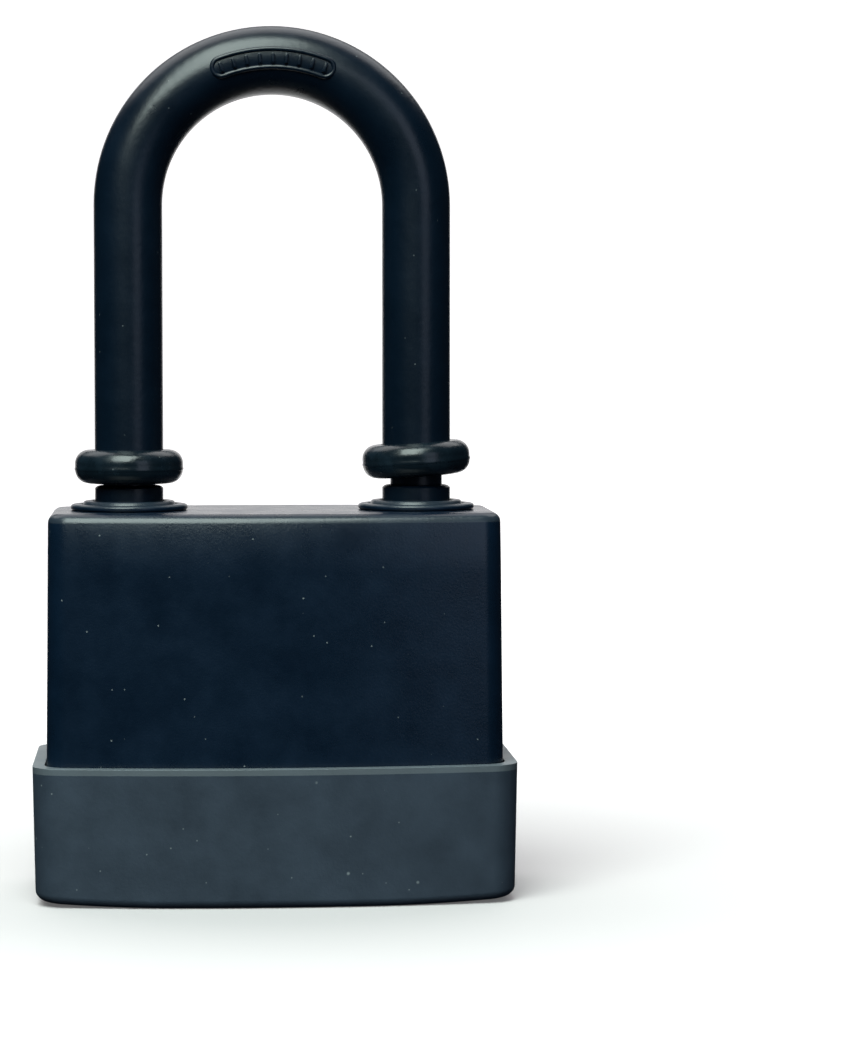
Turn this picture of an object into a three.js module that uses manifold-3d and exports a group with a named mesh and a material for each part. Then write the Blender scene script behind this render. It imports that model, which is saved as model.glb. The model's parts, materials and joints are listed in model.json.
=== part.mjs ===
// Weatherproof padlock: a laminated steel lock in a two-part plastic jacket, with a bent rod shackle,
// rubber leg seals and a hinged keyhole cover. Millimetres. +Z points up along the shackle, +X to the
// right and -Y out of the front face. The origin is the middle of the face that the lock stands on.
// The lock is closed and unlocked: the shackle is down and the cam holds both balls back.
import Module from 'manifold-3d';
import * as THREE from 'three';
import { mergeVertices } from 'three/addons/utils/BufferGeometryUtils.js';

const wasm = await Module();
wasm.setup();

// ---------- driving dimensions ----------
const GAP = 0.3; // running clearance between neighbouring pieces
const JOIN = 0.2; // depth that the features of one piece run into each other

// Shackle
const ROD = 10; // rod diameter
const LEG_SPACING = 42.2; // between the legs' centre lines
const CROWN_RISE = 44.6; // from the jacket's top up to the centre of the bend
const TOE_TAIL = 6.55; // toe leg below its locking notch
const HEEL_TAIL = 6.05; // heel leg below its holding groove
const TOE_CLEAR = 0.4; // toe above its bush when the shackle is fully raised
const TIP_CHAMFER = 1; // chamfer on the ends of both legs

// Rubber seals on the legs
const NECK_DEPTH = 1.2; // depth of the groove that a seal belongs in
const NECK_LENGTH = 4.4;
const NECK_LIFT = 2.2; // from a bush's top to the groove
const SEAL_WALL = 2.4; // thickness of the ring beside the rod
const SEAL_FIT = 0.5; // clearance between ring and rod
const SEAL_HEIGHT = 4.9;
const SEAL_EDGE = 1.5; // radius along the ring's outer edges
const LEFT_SEAL_LIFT = 5; // from a bush's top to the ring's middle
const RIGHT_SEAL_LIFT = 6; // this ring has been pushed up
const RIGHT_SEAL_TILT = 4.4; // degrees, its outer side up

// Laminated body
const PLATE_COUNT = 12;
const PLATE_THICKNESS = 3.5;
const STACK_BOTTOM = 8; // underside of the lowest plate
const BALL_PLATE = 9; // the lower of the two plates that the balls run in
const LEG_WALL = 4.2; // plate beyond each leg hole
const EDGE_WALL = 1.4; // plate beyond the cylinder and beyond the cam
const PLATE_CORNER = 2.6;
const FACE_BOW = 2.2; // how far the middle of the front and back faces bows out
const RIVET_RADIUS = 1.8;
const RIVET_HEAD = 2.7; // head radius
const RIVET_HEAD_HEIGHT = 0.7;
const RIVET_HEAD_TAPER = 0.5; // a head's face is this much smaller than its foot, on the radius
const RIVET_INSET_X = 3.4; // from a plate's side to a rivet
const RIVET_INSET_Y = 4; // from a plate's corner line to a rivet

// Balls and cam
const TOE_TRAVEL = 1.8; // travel of the ball that locks the toe
const HEEL_TRAVEL = 0.7; // travel of the ball that always holds the heel
const CHAMBER_CLEARANCE = 0.4; // around the cam's lobes
const STEM_RADIUS = 4.9; // the cam's stem, which the plug drives
const JOURNAL_RADIUS = 2.5; // the cam's upper bearing
const TONGUE_LENGTH = 6.4; // the plug's tongue, which sits in the stem's slot
const TONGUE_THICKNESS = 1.8;
const TONGUE_HEIGHT = 3;

// Cylinder
const PLUG_RADIUS = 6.25;
const HOUSING_WALL = 1.95;
const HOUSING_FRONT = 6.2; // height of the cylinder's face
const FRONT_MARGIN = 3.3; // from the face to the first pin
const BACK_MARGIN = 7.3; // from the last pin to the housing's end
const PIN_COUNT = 5;
const PIN_PITCH = 3.8;
const PIN_RADIUS = 1.2;
const KEY_PIN_LENGTHS = [4.6, 5.4, 4.1, 5, 5.8];
const KEY_PIN_TIP = 0.4; // radius of the flat on a key pin's cone
const DRIVER_LENGTH = 2.4;
const PIN_SPRING_LENGTH = 2.6;
const PIN_BORE_WALL = 1.5; // brass beside the pin bores
const COVER_STRIP = 0.5; // thickness of the strip that closes the bores
const KEYWAY_WIDTH = 2.4;
const KEYWAY_LOW = -5.4; // the keyway's two edges across the plug
const KEYWAY_HIGH = 2.8;
const KEYWAY_BACK_WALL = 3;
const TAIL_NECK = 3.6; // neck radius behind the plug
const TAIL_FLANGE = 4.6; // flange radius behind the clip
const TAIL_FLANGE_HEIGHT = 0.8;
const CLIP_RADIUS = 7.6;
const CLIP_THICKNESS = 0.8;

// Plastic jacket
const JACKET_WALL = 1.75;
const JACKET_TOP_WALL = 1.7;
const JACKET_HEADROOM = 1.3; // above the top plate
const JACKET_CORNER = 3.4;
const JACKET_TOP_EDGE = 2; // radius along the top edge
const JACKET_DRAFT = 0.5; // each side's growth from top to foot
const BUSH_WALL = 1.1;
const BUSH_FIT = 0.4; // clearance between bush and rod
const BUSH_FLANGE = 2.05; // flange beyond the bush's wall
const BUSH_FLANGE_HEIGHT = 1.1;
const BUSH_FLANGE_ROUND = 1.1; // how far the flange's rounded edge reaches in over its top
const BUSH_FLANGE_EASE = 0.15; // small bevel on the flange's edges

// Base cap
const CAP_HEIGHT = 20.1;
const CAP_FLOOR = 4.2;
const CAP_LEDGE = 2; // how far the rim stands out from the jacket
const CAP_DRAFT = 0.35; // each side's taper from rim to foot
const CAP_CORNER = 4.4;
const CAP_EDGE = 1.6; // radius along the bottom edge at the sides
const CAP_LAND = 13.5; // half length of the flat that it stands on
const CAP_END_LIFT = 0.9; // how far the underside rises at its ends
const SNAP_SPACING = 28; // between the two snaps on a face
const SNAP_LENGTH = 7;
const SNAP_HEIGHT = 2;
const SNAP_PROUD = 0.7;
const SNAP_LEVEL = 12; // underside of a snap
const PAD_INNER = 5; // the pads under the plates, from the leg's centre line inwards
const PAD_OUTER = 2;
const PAD_HALF_DEPTH = 6;

// Keyhole cover and gasket
const WINDOW_MARGIN = 1.35; // keyhole window beyond the plug
const GASKET_WIDTH = 2.9;
const RECESS_MARGIN = 3.4; // cover recess beyond the window
const RECESS_DEPTH = 2.8;
const COVER_THICKNESS = 2.2;
const COVER_LIP = 2; // recess beyond the window at the front
const COVER_CLEARANCE = 0.4; // around the cover in its recess, at its front and behind its hinge
const COVER_BOSS_HEIGHT = 1.1;
const COVER_BOSS_MARGIN = 1.5; // window beyond the cover's boss
const NAIL_GRIP_LENGTH = 8.8;
const HINGE_PIN_RADIUS = 0.45;
const HINGE_PIN_GRIP = 2.5; // pin held in the cap at each end
const HINGE_OFFSET = 0.6; // hinge line beyond the window

// Springs
const HEEL_SPRING_WIRE = 0.6; // wire radius
const HEEL_SPRING_TURNS = 5;
const HEEL_SPRING_STEPS = 9; // along each turn
const PIN_SPRING_WIRE = 0.2;
const PIN_SPRING_TURNS = 4;
const PIN_SPRING_STEPS = 5; // along each turn

// Flats around a circle, and steps along a quarter circle
const WIDE_SIDES = 20; // barrels, flanges and rings
const ROD_SIDES = 16; // the shackle's rod and what fits around it
const HOLE_SIDES = 12; // plain holes
const PIN_BORE_SIDES = 10;
const SMALL_SIDES = 8; // pins
const RIVET_SIDES = 6;
const WIRE_SIDES = 5; // spring wire
const CORNER_STEPS = 5; // a jacket or cap corner
const PLATE_CORNER_STEPS = 2;
const EDGE_STEPS = 3; // a rounded edge
const BEND_STEPS = 20; // the shackle's bend
const CAM_STEPS = 40;

// ---------- sizes that follow ----------
const ROD_RADIUS = ROD / 2;
const LEG_X = LEG_SPACING / 2;
const PITCH = PLATE_THICKNESS + GAP;
const STACK_TOP = plateBottom(PLATE_COUNT - 1) + PLATE_THICKNESS;
const JACKET_INNER_TOP = STACK_TOP + JACKET_HEADROOM;
const JACKET_TOP = JACKET_INNER_TOP + JACKET_TOP_WALL;
const BUSH_TOP = JACKET_TOP + GAP + BUSH_FLANGE_HEIGHT;

const BALL_RADIUS = PLATE_THICKNESS;
const BALL_Z = plateBottom(BALL_PLATE + 1) - GAP / 2;
const TOE_FREE = LEG_X - ROD_RADIUS - GAP - BALL_RADIUS;
const LOCKED = TOE_FREE + TOE_TRAVEL;
const HEEL_FREE = LOCKED - HEEL_TRAVEL;
const CAM_LOW = TOE_FREE - BALL_RADIUS - GAP;
const CAM_PEAK = CAM_LOW + TOE_TRAVEL;
const CHAMBER_RADIUS = CAM_PEAK + CHAMBER_CLEARANCE;
const CHANNEL = BALL_RADIUS + GAP; // half width of the balls' channel
const LEG_HOLE = ROD_RADIUS + GAP;

const CROWN_Z = JACKET_TOP + CROWN_RISE;
const TOE_END = BALL_Z - TOE_TAIL;
const LIFT = BUSH_TOP + TOE_CLEAR - TOE_END;
const HOLD_Z = BALL_Z - LIFT; // the groove that holds the heel when the shackle is up
const HEEL_END = HOLD_Z - HEEL_TAIL;

const PLUG_BORE = PLUG_RADIUS + GAP;
const HOUSING_RADIUS = PLUG_BORE + HOUSING_WALL;
const HOUSING_BACK = HOUSING_FRONT + FRONT_MARGIN + (PIN_COUNT - 1) * PIN_PITCH + BACK_MARGIN;
const PIN_BORE = PIN_RADIUS + GAP;
const DRIVER_TOP = PLUG_BORE + DRIVER_LENGTH;
const SPRING_BASE = DRIVER_TOP + GAP / 2;
const STRIP_Y = SPRING_BASE + PIN_SPRING_LENGTH + GAP;
const BIBLE_TOP = STRIP_Y + COVER_STRIP;
const BIBLE_HALF = PIN_BORE + PIN_BORE_WALL;
const CLIP_Z = HOUSING_BACK + GAP;
const FLANGE_Z = CLIP_Z + CLIP_THICKNESS + GAP;
const TAIL_TOP = FLANGE_Z + TAIL_FLANGE_HEIGHT;
const STEM_BOTTOM = TAIL_TOP + GAP;

const PLATE_WIDTH = LEG_SPACING + 2 * (LEG_HOLE + LEG_WALL);
const PLATE_DEPTH = 2 * (Math.max(BIBLE_TOP, CHAMBER_RADIUS) + EDGE_WALL);
const RIVET_X = PLATE_WIDTH / 2 - RIVET_INSET_X;
const RIVET_Y = PLATE_DEPTH / 2 - FACE_BOW - RIVET_INSET_Y;
const CAVITY_WIDTH = PLATE_WIDTH + 2 * GAP;
const CAVITY_DEPTH = PLATE_DEPTH + 2 * GAP;
const JACKET_WIDTH = CAVITY_WIDTH + 2 * JACKET_WALL;
const JACKET_DEPTH = CAVITY_DEPTH + 2 * JACKET_WALL;
const JACKET_FOOT = CAP_FLOOR + GAP;
const RIM_GROWTH = JACKET_DRAFT * (JACKET_TOP - CAP_HEIGHT) / (JACKET_TOP - JACKET_FOOT);
const CAP_WIDTH = JACKET_WIDTH + 2 * (RIM_GROWTH + CAP_LEDGE);
const CAP_DEPTH = JACKET_DEPTH + 2 * (RIM_GROWTH + CAP_LEDGE);
const BUSH_BORE = ROD_RADIUS + BUSH_FIT;
const BUSH_RADIUS = BUSH_BORE + BUSH_WALL;
const BUSH_HOLE = BUSH_RADIUS + GAP;
const SEAL_BORE = ROD_RADIUS + SEAL_FIT;

const WINDOW = PLUG_RADIUS + WINDOW_MARGIN;
const RECESS_HALF = WINDOW + RECESS_MARGIN;
const HINGE_Y = WINDOW + HINGE_OFFSET;
const HINGE_Z = RECESS_DEPTH / 2;
const KNUCKLE = COVER_THICKNESS / 2;
const RECESS_BACK = HINGE_Y + KNUCKLE + COVER_CLEARANCE;
const RECESS_FRONT = -(WINDOW + COVER_LIP);
const COVER_LOW = HINGE_Z - KNUCKLE;
const HINGE_HOLE = HINGE_PIN_RADIUS + GAP;

// ---------- materials ----------
const BLACK_PLASTIC = surface(0x14202c, 0.45, 0);
const GREY_PLASTIC = surface(0x3c4650, 0.7, 0);
const RUBBER = surface(0x1c2126, 0.6, 0);
const COATED_STEEL = surface(0x101820, 0.35, 0);
const PLATE_STEEL = surface(0x9a9c9e, 0.5, 1);
const BRIGHT_STEEL = surface(0xc4c6c8, 0.25, 1);
const BRASS = surface(0xb8934a, 0.35, 1);

function surface(color, roughness, metalness) {
  return new THREE.MeshStandardMaterial({ color, roughness, metalness });
}

function plateBottom(index) {
  return STACK_BOTTOM + index * PITCH;
}

// ---------- joining and cutting ----------
function solid(geometry) {
  const bare = geometry.clone();
  bare.deleteAttribute('normal');
  bare.deleteAttribute('uv');
  const merged = mergeVertices(bare, 1e-5);
  const corners = merged.index.array;
  const triangles = [];
  for (let i = 0; i < corners.length; i += 3) {
    const [a, b, c] = [corners[i], corners[i + 1], corners[i + 2]];
    if (a !== b && b !== c && c !== a) {
      triangles.push(a, b, c);
    }
  }
  const vertProperties = new Float32Array(merged.attributes.position.array);
  const triVerts = new Uint32Array(triangles);
  return new wasm.Manifold(new wasm.Mesh({ numProp: 3, vertProperties, triVerts }));
}

function shapeOf(body) {
  const mesh = body.getMesh();
  const geometry = new THREE.BufferGeometry();
  geometry.setAttribute('position', new THREE.BufferAttribute(mesh.vertProperties, 3));
  geometry.setIndex(new THREE.BufferAttribute(mesh.triVerts, 1));
  geometry.computeVertexNormals();
  return geometry;
}

function joined(...geometries) {
  return geometries.map(solid).reduce((whole, next) => whole.add(next));
}

function cutFrom(body, ...cutters) {
  return cutters.map(solid).reduce((rest, cutter) => rest.subtract(cutter), body);
}

// ---------- outlines ----------
function arc(x, y, radius, from, to, steps) {
  const points = [];
  for (let i = 0; i <= steps; i += 1) {
    const angle = from + (to - from) * i / steps;
    points.push(new THREE.Vector2(x + radius * Math.cos(angle), y + radius * Math.sin(angle)));
  }
  return points;
}

// A whole circle whose flats stay outside the given radius, so that a hole keeps its clearance
function hole(x, y, radius, steps) {
  const points = arc(x, y, radius / Math.cos(Math.PI / steps), 0, 2 * Math.PI, steps);
  points.pop();
  return points;
}

// The body's plan: round corners, with the front and back faces bowed outwards
function bodyPlan(width, depth, corner, steps) {
  const x = width / 2 - corner;
  const y = depth / 2 - FACE_BOW;
  const half = arc(x, y - corner, corner, 0, Math.PI / 2, steps);
  const bowSteps = 2 * steps;
  for (let i = 1; i < bowSteps; i += 1) {
    const along = 1 - 2 * i / bowSteps;
    half.push(new THREE.Vector2(x * along, y + FACE_BOW * (1 - along * along)));
  }
  half.push(...arc(-x, y - corner, corner, Math.PI / 2, Math.PI, steps));
  return half.concat(half.map((point) => point.clone().negate()));
}

// The housing's plan: a round barrel with the pin chambers' block on its back
function housingPlan(radius, blockHalf, blockTop, steps) {
  const angle = Math.acos(blockHalf / radius);
  const points = arc(0, 0, radius, Math.PI - angle, 2 * Math.PI + angle, steps);
  points.push(new THREE.Vector2(blockHalf, blockTop));
  points.push(new THREE.Vector2(-blockHalf, blockTop));
  return points;
}

// The two leg holes, the cam's chamber and the balls' channel between them, as one opening
function chamberPlan() {
  const hip = Math.asin(CHANNEL / LEG_HOLE);
  const side = Math.asin(CHANNEL / CHAMBER_RADIUS);
  const round = 10;
  const leg = LEG_HOLE / Math.cos((Math.PI - hip) / round);
  return [
    ...arc(LEG_X, 0, leg, hip - Math.PI, Math.PI - hip, round),
    ...arc(0, 0, CHAMBER_RADIUS, side, Math.PI - side, round),
    ...arc(-LEG_X, 0, leg, hip, 2 * Math.PI - hip, round),
    ...arc(0, 0, CHAMBER_RADIUS, Math.PI + side, 2 * Math.PI - side, round),
  ];
}

// ---------- basic solids ----------
function prism(outline, low, high, holes = []) {
  const shape = new THREE.Shape(outline);
  shape.holes = holes.map((points) => new THREE.Path(points));
  const geometry = new THREE.ExtrudeGeometry(shape, { depth: high - low, bevelEnabled: false });
  return geometry.translate(0, 0, low);
}

function block(x0, x1, y0, y1, z0, z1) {
  const geometry = new THREE.BoxGeometry(x1 - x0, y1 - y0, z1 - z0);
  return geometry.translate((x0 + x1) / 2, (y0 + y1) / 2, (z0 + z1) / 2);
}

function rod(radius, low, high, sides = WIDE_SIDES) {
  const geometry = new THREE.CylinderGeometry(radius, radius, high - low, sides);
  return geometry.rotateX(Math.PI / 2).translate(0, 0, (low + high) / 2);
}

// A rod that runs along +Y, at the given height
function crossRod(radius, y0, y1, z, sides) {
  const geometry = new THREE.CylinderGeometry(radius, radius, y1 - y0, sides);
  return geometry.translate(0, (y0 + y1) / 2, z);
}

// Turns a profile of [radius, height] pairs around the Z axis
function turned(profile, sides) {
  const points = profile.map(([radius, height]) => new THREE.Vector2(radius, height));
  return new THREE.LatheGeometry(points, sides).rotateX(Math.PI / 2);
}

function ring(profile, sides) {
  return turned([...profile, profile[0]], sides);
}

function sphere(radius, x, z) {
  return new THREE.SphereGeometry(radius, HOLE_SIDES, SMALL_SIDES).translate(x, 0, z);
}

// Widens a prism evenly by growth on each side, from nothing at the top to all of it at the foot
function draft(geometry, width, depth, growth, top, foot) {
  const position = geometry.attributes.position;
  for (let i = 0; i < position.count; i += 1) {
    const share = 2 * growth * (top - position.getZ(i)) / (top - foot);
    position.setX(i, position.getX(i) * (1 + share / width));
    position.setY(i, position.getY(i) * (1 + share / depth));
  }
  return geometry;
}

class Helix extends THREE.Curve {
  constructor(radius, low, high, turns) {
    super();
    Object.assign(this, { radius, low, high, turns });
  }

  getPointAt(share) {
    const angle = 2 * Math.PI * this.turns * share;
    const height = this.low + (this.high - this.low) * share;
    return new THREE.Vector3(this.radius * Math.cos(angle), this.radius * Math.sin(angle), height);
  }

  getTangentAt(share) {
    const angle = 2 * Math.PI * this.turns * share;
    const turn = 2 * Math.PI * this.turns * this.radius;
    const rise = this.high - this.low;
    return new THREE.Vector3(-turn * Math.sin(angle), turn * Math.cos(angle), rise).normalize();
  }
}

function coil(radius, wire, low, high, turns, stepsPerTurn) {
  const path = new Helix(radius, low + wire, high - wire, turns);
  const section = new THREE.Shape(hole(0, 0, wire * Math.cos(Math.PI / WIRE_SIDES), WIRE_SIDES));
  const steps = turns * stepsPerTurn;
  return new THREE.ExtrudeGeometry(section, { steps, extrudePath: path, bevelEnabled: false });
}

// ---------- shackle ----------
// The rod's centre line: up the toe leg, around the crown and down the heel leg
class ShacklePath extends THREE.Curve {
  constructor(bendSteps) {
    super();
    this.bendSteps = bendSteps;
    this.steps = bendSteps + 2;
  }

  bendAngle(share) {
    const station = Math.round(share * this.steps) - 1;
    return Math.PI * Math.min(Math.max(station / this.bendSteps, 0), 1);
  }

  getPointAt(share) {
    const station = Math.round(share * this.steps);
    if (station === 0) {
      return new THREE.Vector3(LEG_X, 0, TOE_END);
    }
    if (station === this.steps) {
      return new THREE.Vector3(-LEG_X, 0, HEEL_END);
    }
    const angle = this.bendAngle(share);
    return new THREE.Vector3(LEG_X * Math.cos(angle), 0, CROWN_Z + LEG_X * Math.sin(angle));
  }

  getTangentAt(share) {
    const angle = this.bendAngle(share);
    return new THREE.Vector3(-Math.sin(angle), 0, Math.cos(angle));
  }
}

function neckCutter(x) {
  const low = BUSH_TOP + NECK_LIFT;
  const high = low + NECK_LENGTH;
  const neck = ROD_RADIUS - NECK_DEPTH;
  const wide = ROD_RADIUS + NECK_DEPTH;
  return ring([[neck, low], [wide, low], [wide, high], [neck, high]], ROD_SIDES).translate(x, 0, 0);
}

function tipCutter(x, end) {
  const inner = ROD_RADIUS - TIP_CHAMFER;
  const outer = ROD_RADIUS + TIP_CHAMFER;
  const low = end - JOIN;
  const rise = end + outer - inner;
  return ring([[inner - JOIN, low], [outer, low], [outer, rise]], ROD_SIDES).translate(x, 0, 0);
}

// The groove around the heel leg that the ball drops into when the shackle is up
function holdingGroove() {
  const profile = arc(LEG_X - LOCKED, HOLD_Z, CHANNEL, 0, 2 * Math.PI, HOLE_SIDES);
  profile.pop();
  return ring(profile.map((point) => [point.x, point.y]), WIDE_SIDES).translate(-LEG_X, 0, 0);
}

function makeShackle() {
  const path = new ShacklePath(BEND_STEPS);
  const inner = ROD_RADIUS * Math.cos(Math.PI / ROD_SIDES);
  const section = new THREE.Shape(hole(0, 0, inner, ROD_SIDES));
  const bar = new THREE.ExtrudeGeometry(section, {
    steps: path.steps,
    extrudePath: path,
    bevelEnabled: false,
  });
  return cutFrom(
    solid(bar),
    sphere(CHANNEL, LOCKED, BALL_Z),
    sphere(CHANNEL, -LOCKED, BALL_Z),
    rod(CHANNEL, HOLD_Z, BALL_Z, HOLE_SIDES).translate(-HEEL_FREE, 0, 0),
    holdingGroove(),
    neckCutter(LEG_X),
    neckCutter(-LEG_X),
    tipCutter(LEG_X, TOE_END),
    tipCutter(-LEG_X, HEEL_END),
  );
}

function makeSeal() {
  const outer = SEAL_BORE + SEAL_WALL;
  const half = SEAL_HEIGHT / 2;
  const profile = [[SEAL_BORE, half], [SEAL_BORE, -half]];
  for (const point of arc(outer - SEAL_EDGE, -half + SEAL_EDGE, SEAL_EDGE, -Math.PI / 2, 0, EDGE_STEPS)) {
    profile.push([point.x, point.y]);
  }
  for (const point of arc(outer - SEAL_EDGE, half - SEAL_EDGE, SEAL_EDGE, 0, Math.PI / 2, EDGE_STEPS)) {
    profile.push([point.x, point.y]);
  }
  return ring(profile, WIDE_SIDES);
}

// ---------- jacket and cap ----------
function makeUpperShell() {
  const plan = new THREE.Shape(bodyPlan(JACKET_WIDTH, JACKET_DEPTH, JACKET_CORNER, CORNER_STEPS));
  const below = JACKET_FOOT - 2 * JACKET_TOP_EDGE;
  const outer = new THREE.ExtrudeGeometry(plan, {
    depth: JACKET_TOP - below - 2 * JACKET_TOP_EDGE,
    bevelThickness: JACKET_TOP_EDGE,
    bevelSize: JACKET_TOP_EDGE,
    bevelOffset: -JACKET_TOP_EDGE,
    bevelSegments: EDGE_STEPS,
  });
  outer.translate(0, 0, below + JACKET_TOP_EDGE);
  draft(outer, JACKET_WIDTH, JACKET_DEPTH, JACKET_DRAFT, JACKET_TOP, JACKET_FOOT);
  const snaps = snapBlocks(0).map(solid);
  const body = snaps.reduce((whole, snap) => whole.add(snap), solid(outer));
  const inside = bodyPlan(CAVITY_WIDTH, CAVITY_DEPTH, PLATE_CORNER, CORNER_STEPS);
  const cavity = prism(inside, below, JACKET_INNER_TOP);
  const skirt = block(-CAP_WIDTH, CAP_WIDTH, -CAP_DEPTH, CAP_DEPTH, below - JOIN, JACKET_FOOT);
  const legHoles = [-LEG_X, LEG_X].map((x) => {
    return prism(hole(x, 0, BUSH_HOLE, WIDE_SIDES), JACKET_INNER_TOP - JOIN, JACKET_TOP + JOIN);
  });
  return cutFrom(body, cavity, skirt, ...legHoles);
}

// The snaps on the jacket's faces, or with a clearance the pockets that they sit in
function snapBlocks(clearance) {
  const blocks = [];
  const halfPlan = JACKET_WIDTH / 2 - JACKET_CORNER;
  const drop = FACE_BOW * (SNAP_SPACING / 2 / halfPlan) ** 2;
  const face = JACKET_DEPTH / 2 + JACKET_DRAFT - drop;
  const half = SNAP_LENGTH / 2 + clearance;
  for (const x of [-SNAP_SPACING / 2, SNAP_SPACING / 2]) {
    for (const side of [-1, 1]) {
      const ends = [side * (face - JACKET_WALL / 2), side * (face + SNAP_PROUD + clearance)];
      const low = SNAP_LEVEL - clearance;
      const high = SNAP_LEVEL + SNAP_HEIGHT + clearance;
      blocks.push(block(x - half, x + half, Math.min(...ends), Math.max(...ends), low, high));
    }
  }
  return blocks;
}

// The cap seen from the front: flat where it stands, rising a little and rounded at its ends
function capFront() {
  const side = CAP_WIDTH / 2 - CAP_DRAFT;
  const shape = new THREE.Shape();
  shape.moveTo(-CAP_LAND, 0);
  shape.lineTo(CAP_LAND, 0);
  shape.quadraticCurveTo(CAP_LAND + (side - CAP_LAND) / 2, 0, side - CAP_EDGE, CAP_END_LIFT);
  shape.absarc(side - CAP_EDGE, CAP_END_LIFT + CAP_EDGE, CAP_EDGE, -Math.PI / 2, 0);
  shape.lineTo(CAP_WIDTH, CAP_HEIGHT / 2);
  shape.lineTo(CAP_WIDTH, CAP_HEIGHT);
  shape.lineTo(-CAP_WIDTH, CAP_HEIGHT);
  shape.lineTo(-CAP_WIDTH, CAP_HEIGHT / 2);
  shape.absarc(CAP_EDGE - side, CAP_END_LIFT + CAP_EDGE, CAP_EDGE, Math.PI, 1.5 * Math.PI);
  shape.quadraticCurveTo(-CAP_LAND - (side - CAP_LAND) / 2, 0, -CAP_LAND, 0);
  const settings = { depth: 2 * CAP_DEPTH, bevelEnabled: false, curveSegments: CORNER_STEPS };
  return new THREE.ExtrudeGeometry(shape, settings).rotateX(Math.PI / 2).translate(0, CAP_DEPTH, 0);
}

function capCutters() {
  const wide = JACKET_WIDTH + 2 * GAP;
  const deep = JACKET_DEPTH + 2 * GAP;
  const inside = prism(bodyPlan(wide, deep, JACKET_CORNER + GAP, CORNER_STEPS), CAP_FLOOR, CAP_HEIGHT + JOIN);
  draft(inside, wide, deep, JACKET_DRAFT, JACKET_TOP, JACKET_FOOT);
  const window = prism(hole(0, 0, WINDOW, WIDE_SIDES), -JOIN, CAP_FLOOR + JOIN);
  const recess = block(-RECESS_HALF, RECESS_HALF, RECESS_FRONT, RECESS_BACK, -JOIN, RECESS_DEPTH);
  const pinHole = hingeHole(RECESS_HALF + HINGE_PIN_GRIP + GAP);
  return [inside, window, recess, pinHole, ...snapBlocks(GAP)];
}

function makeBaseCap() {
  const outer = prism(bodyPlan(CAP_WIDTH, CAP_DEPTH, CAP_CORNER, CORNER_STEPS), -JOIN, CAP_HEIGHT);
  draft(outer, CAP_WIDTH, CAP_DEPTH, -CAP_DRAFT, CAP_HEIGHT, 0);
  const shell = cutFrom(solid(outer).intersect(solid(capFront())), ...capCutters());
  const top = STACK_BOTTOM - GAP;
  const pads = [-1, 1].map((side) => {
    const ends = [side * (LEG_X - PAD_INNER), side * (LEG_X + PAD_OUTER)];
    const low = CAP_FLOOR - JOIN;
    return block(Math.min(...ends), Math.max(...ends), -PAD_HALF_DEPTH, PAD_HALF_DEPTH, low, top);
  });
  return pads.map(solid).reduce((whole, pad) => whole.add(pad), shell);
}

function makeBush() {
  const low = STACK_TOP + GAP;
  const seat = JACKET_TOP + GAP;
  const rim = BUSH_RADIUS + BUSH_FLANGE;
  const profile = [
    [BUSH_BORE, low],
    [BUSH_RADIUS, low],
    [BUSH_RADIUS, seat],
    [rim - BUSH_FLANGE_EASE, seat],
    [rim, seat + BUSH_FLANGE_HEIGHT / 2],
    [rim - 3 * BUSH_FLANGE_EASE, BUSH_TOP - BUSH_FLANGE_EASE],
    [rim - BUSH_FLANGE_ROUND, BUSH_TOP],
    [BUSH_BORE, BUSH_TOP],
  ];
  return ring(profile, WIDE_SIDES);
}

// ---------- laminated body ----------
function plateHoles(index) {
  const holes = [];
  for (const x of [-RIVET_X, RIVET_X]) {
    for (const y of [-RIVET_Y, RIVET_Y]) {
      holes.push(hole(x, y, RIVET_RADIUS + GAP, RIVET_SIDES));
    }
  }
  if (index === BALL_PLATE || index === BALL_PLATE + 1) {
    return [...holes, chamberPlan()];
  }
  const low = plateBottom(index);
  if (index > 0) {
    holes.push(hole(-LEG_X, 0, LEG_HOLE, HOLE_SIDES));
  }
  if (low + PLATE_THICKNESS > TOE_END - GAP) {
    holes.push(hole(LEG_X, 0, LEG_HOLE, HOLE_SIDES));
  }
  holes.push(middleHole(index, low));
  return holes;
}

// What passes through the middle of a plate: the cylinder, the cam's stem or its upper bearing
function middleHole(index, low) {
  if (low < STEM_BOTTOM) {
    return housingPlan(HOUSING_RADIUS + GAP, BIBLE_HALF + GAP, BIBLE_TOP + GAP, ROD_SIDES);
  }
  if (index > BALL_PLATE) {
    return hole(0, 0, JOURNAL_RADIUS + GAP, HOLE_SIDES);
  }
  return hole(0, 0, STEM_RADIUS + GAP, ROD_SIDES);
}

function makePlate(index) {
  const low = plateBottom(index);
  const outline = bodyPlan(PLATE_WIDTH, PLATE_DEPTH, PLATE_CORNER, PLATE_CORNER_STEPS);
  return prism(outline, low, low + PLATE_THICKNESS, plateHoles(index));
}

function makeRivet() {
  const low = STACK_BOTTOM - GAP;
  const high = STACK_TOP + GAP;
  const profile = [
    [0, low - RIVET_HEAD_HEIGHT],
    [RIVET_HEAD - RIVET_HEAD_TAPER, low - RIVET_HEAD_HEIGHT],
    [RIVET_HEAD, low],
    [RIVET_RADIUS, low],
    [RIVET_RADIUS, high],
    [RIVET_HEAD, high],
    [RIVET_HEAD - RIVET_HEAD_TAPER, high + RIVET_HEAD_HEIGHT],
    [0, high + RIVET_HEAD_HEIGHT],
  ];
  return turned(profile, RIVET_SIDES);
}

// ---------- cylinder ----------
function pinHeights() {
  const first = HOUSING_FRONT + FRONT_MARGIN;
  return KEY_PIN_LENGTHS.map((length, index) => first + index * PIN_PITCH);
}

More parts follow.
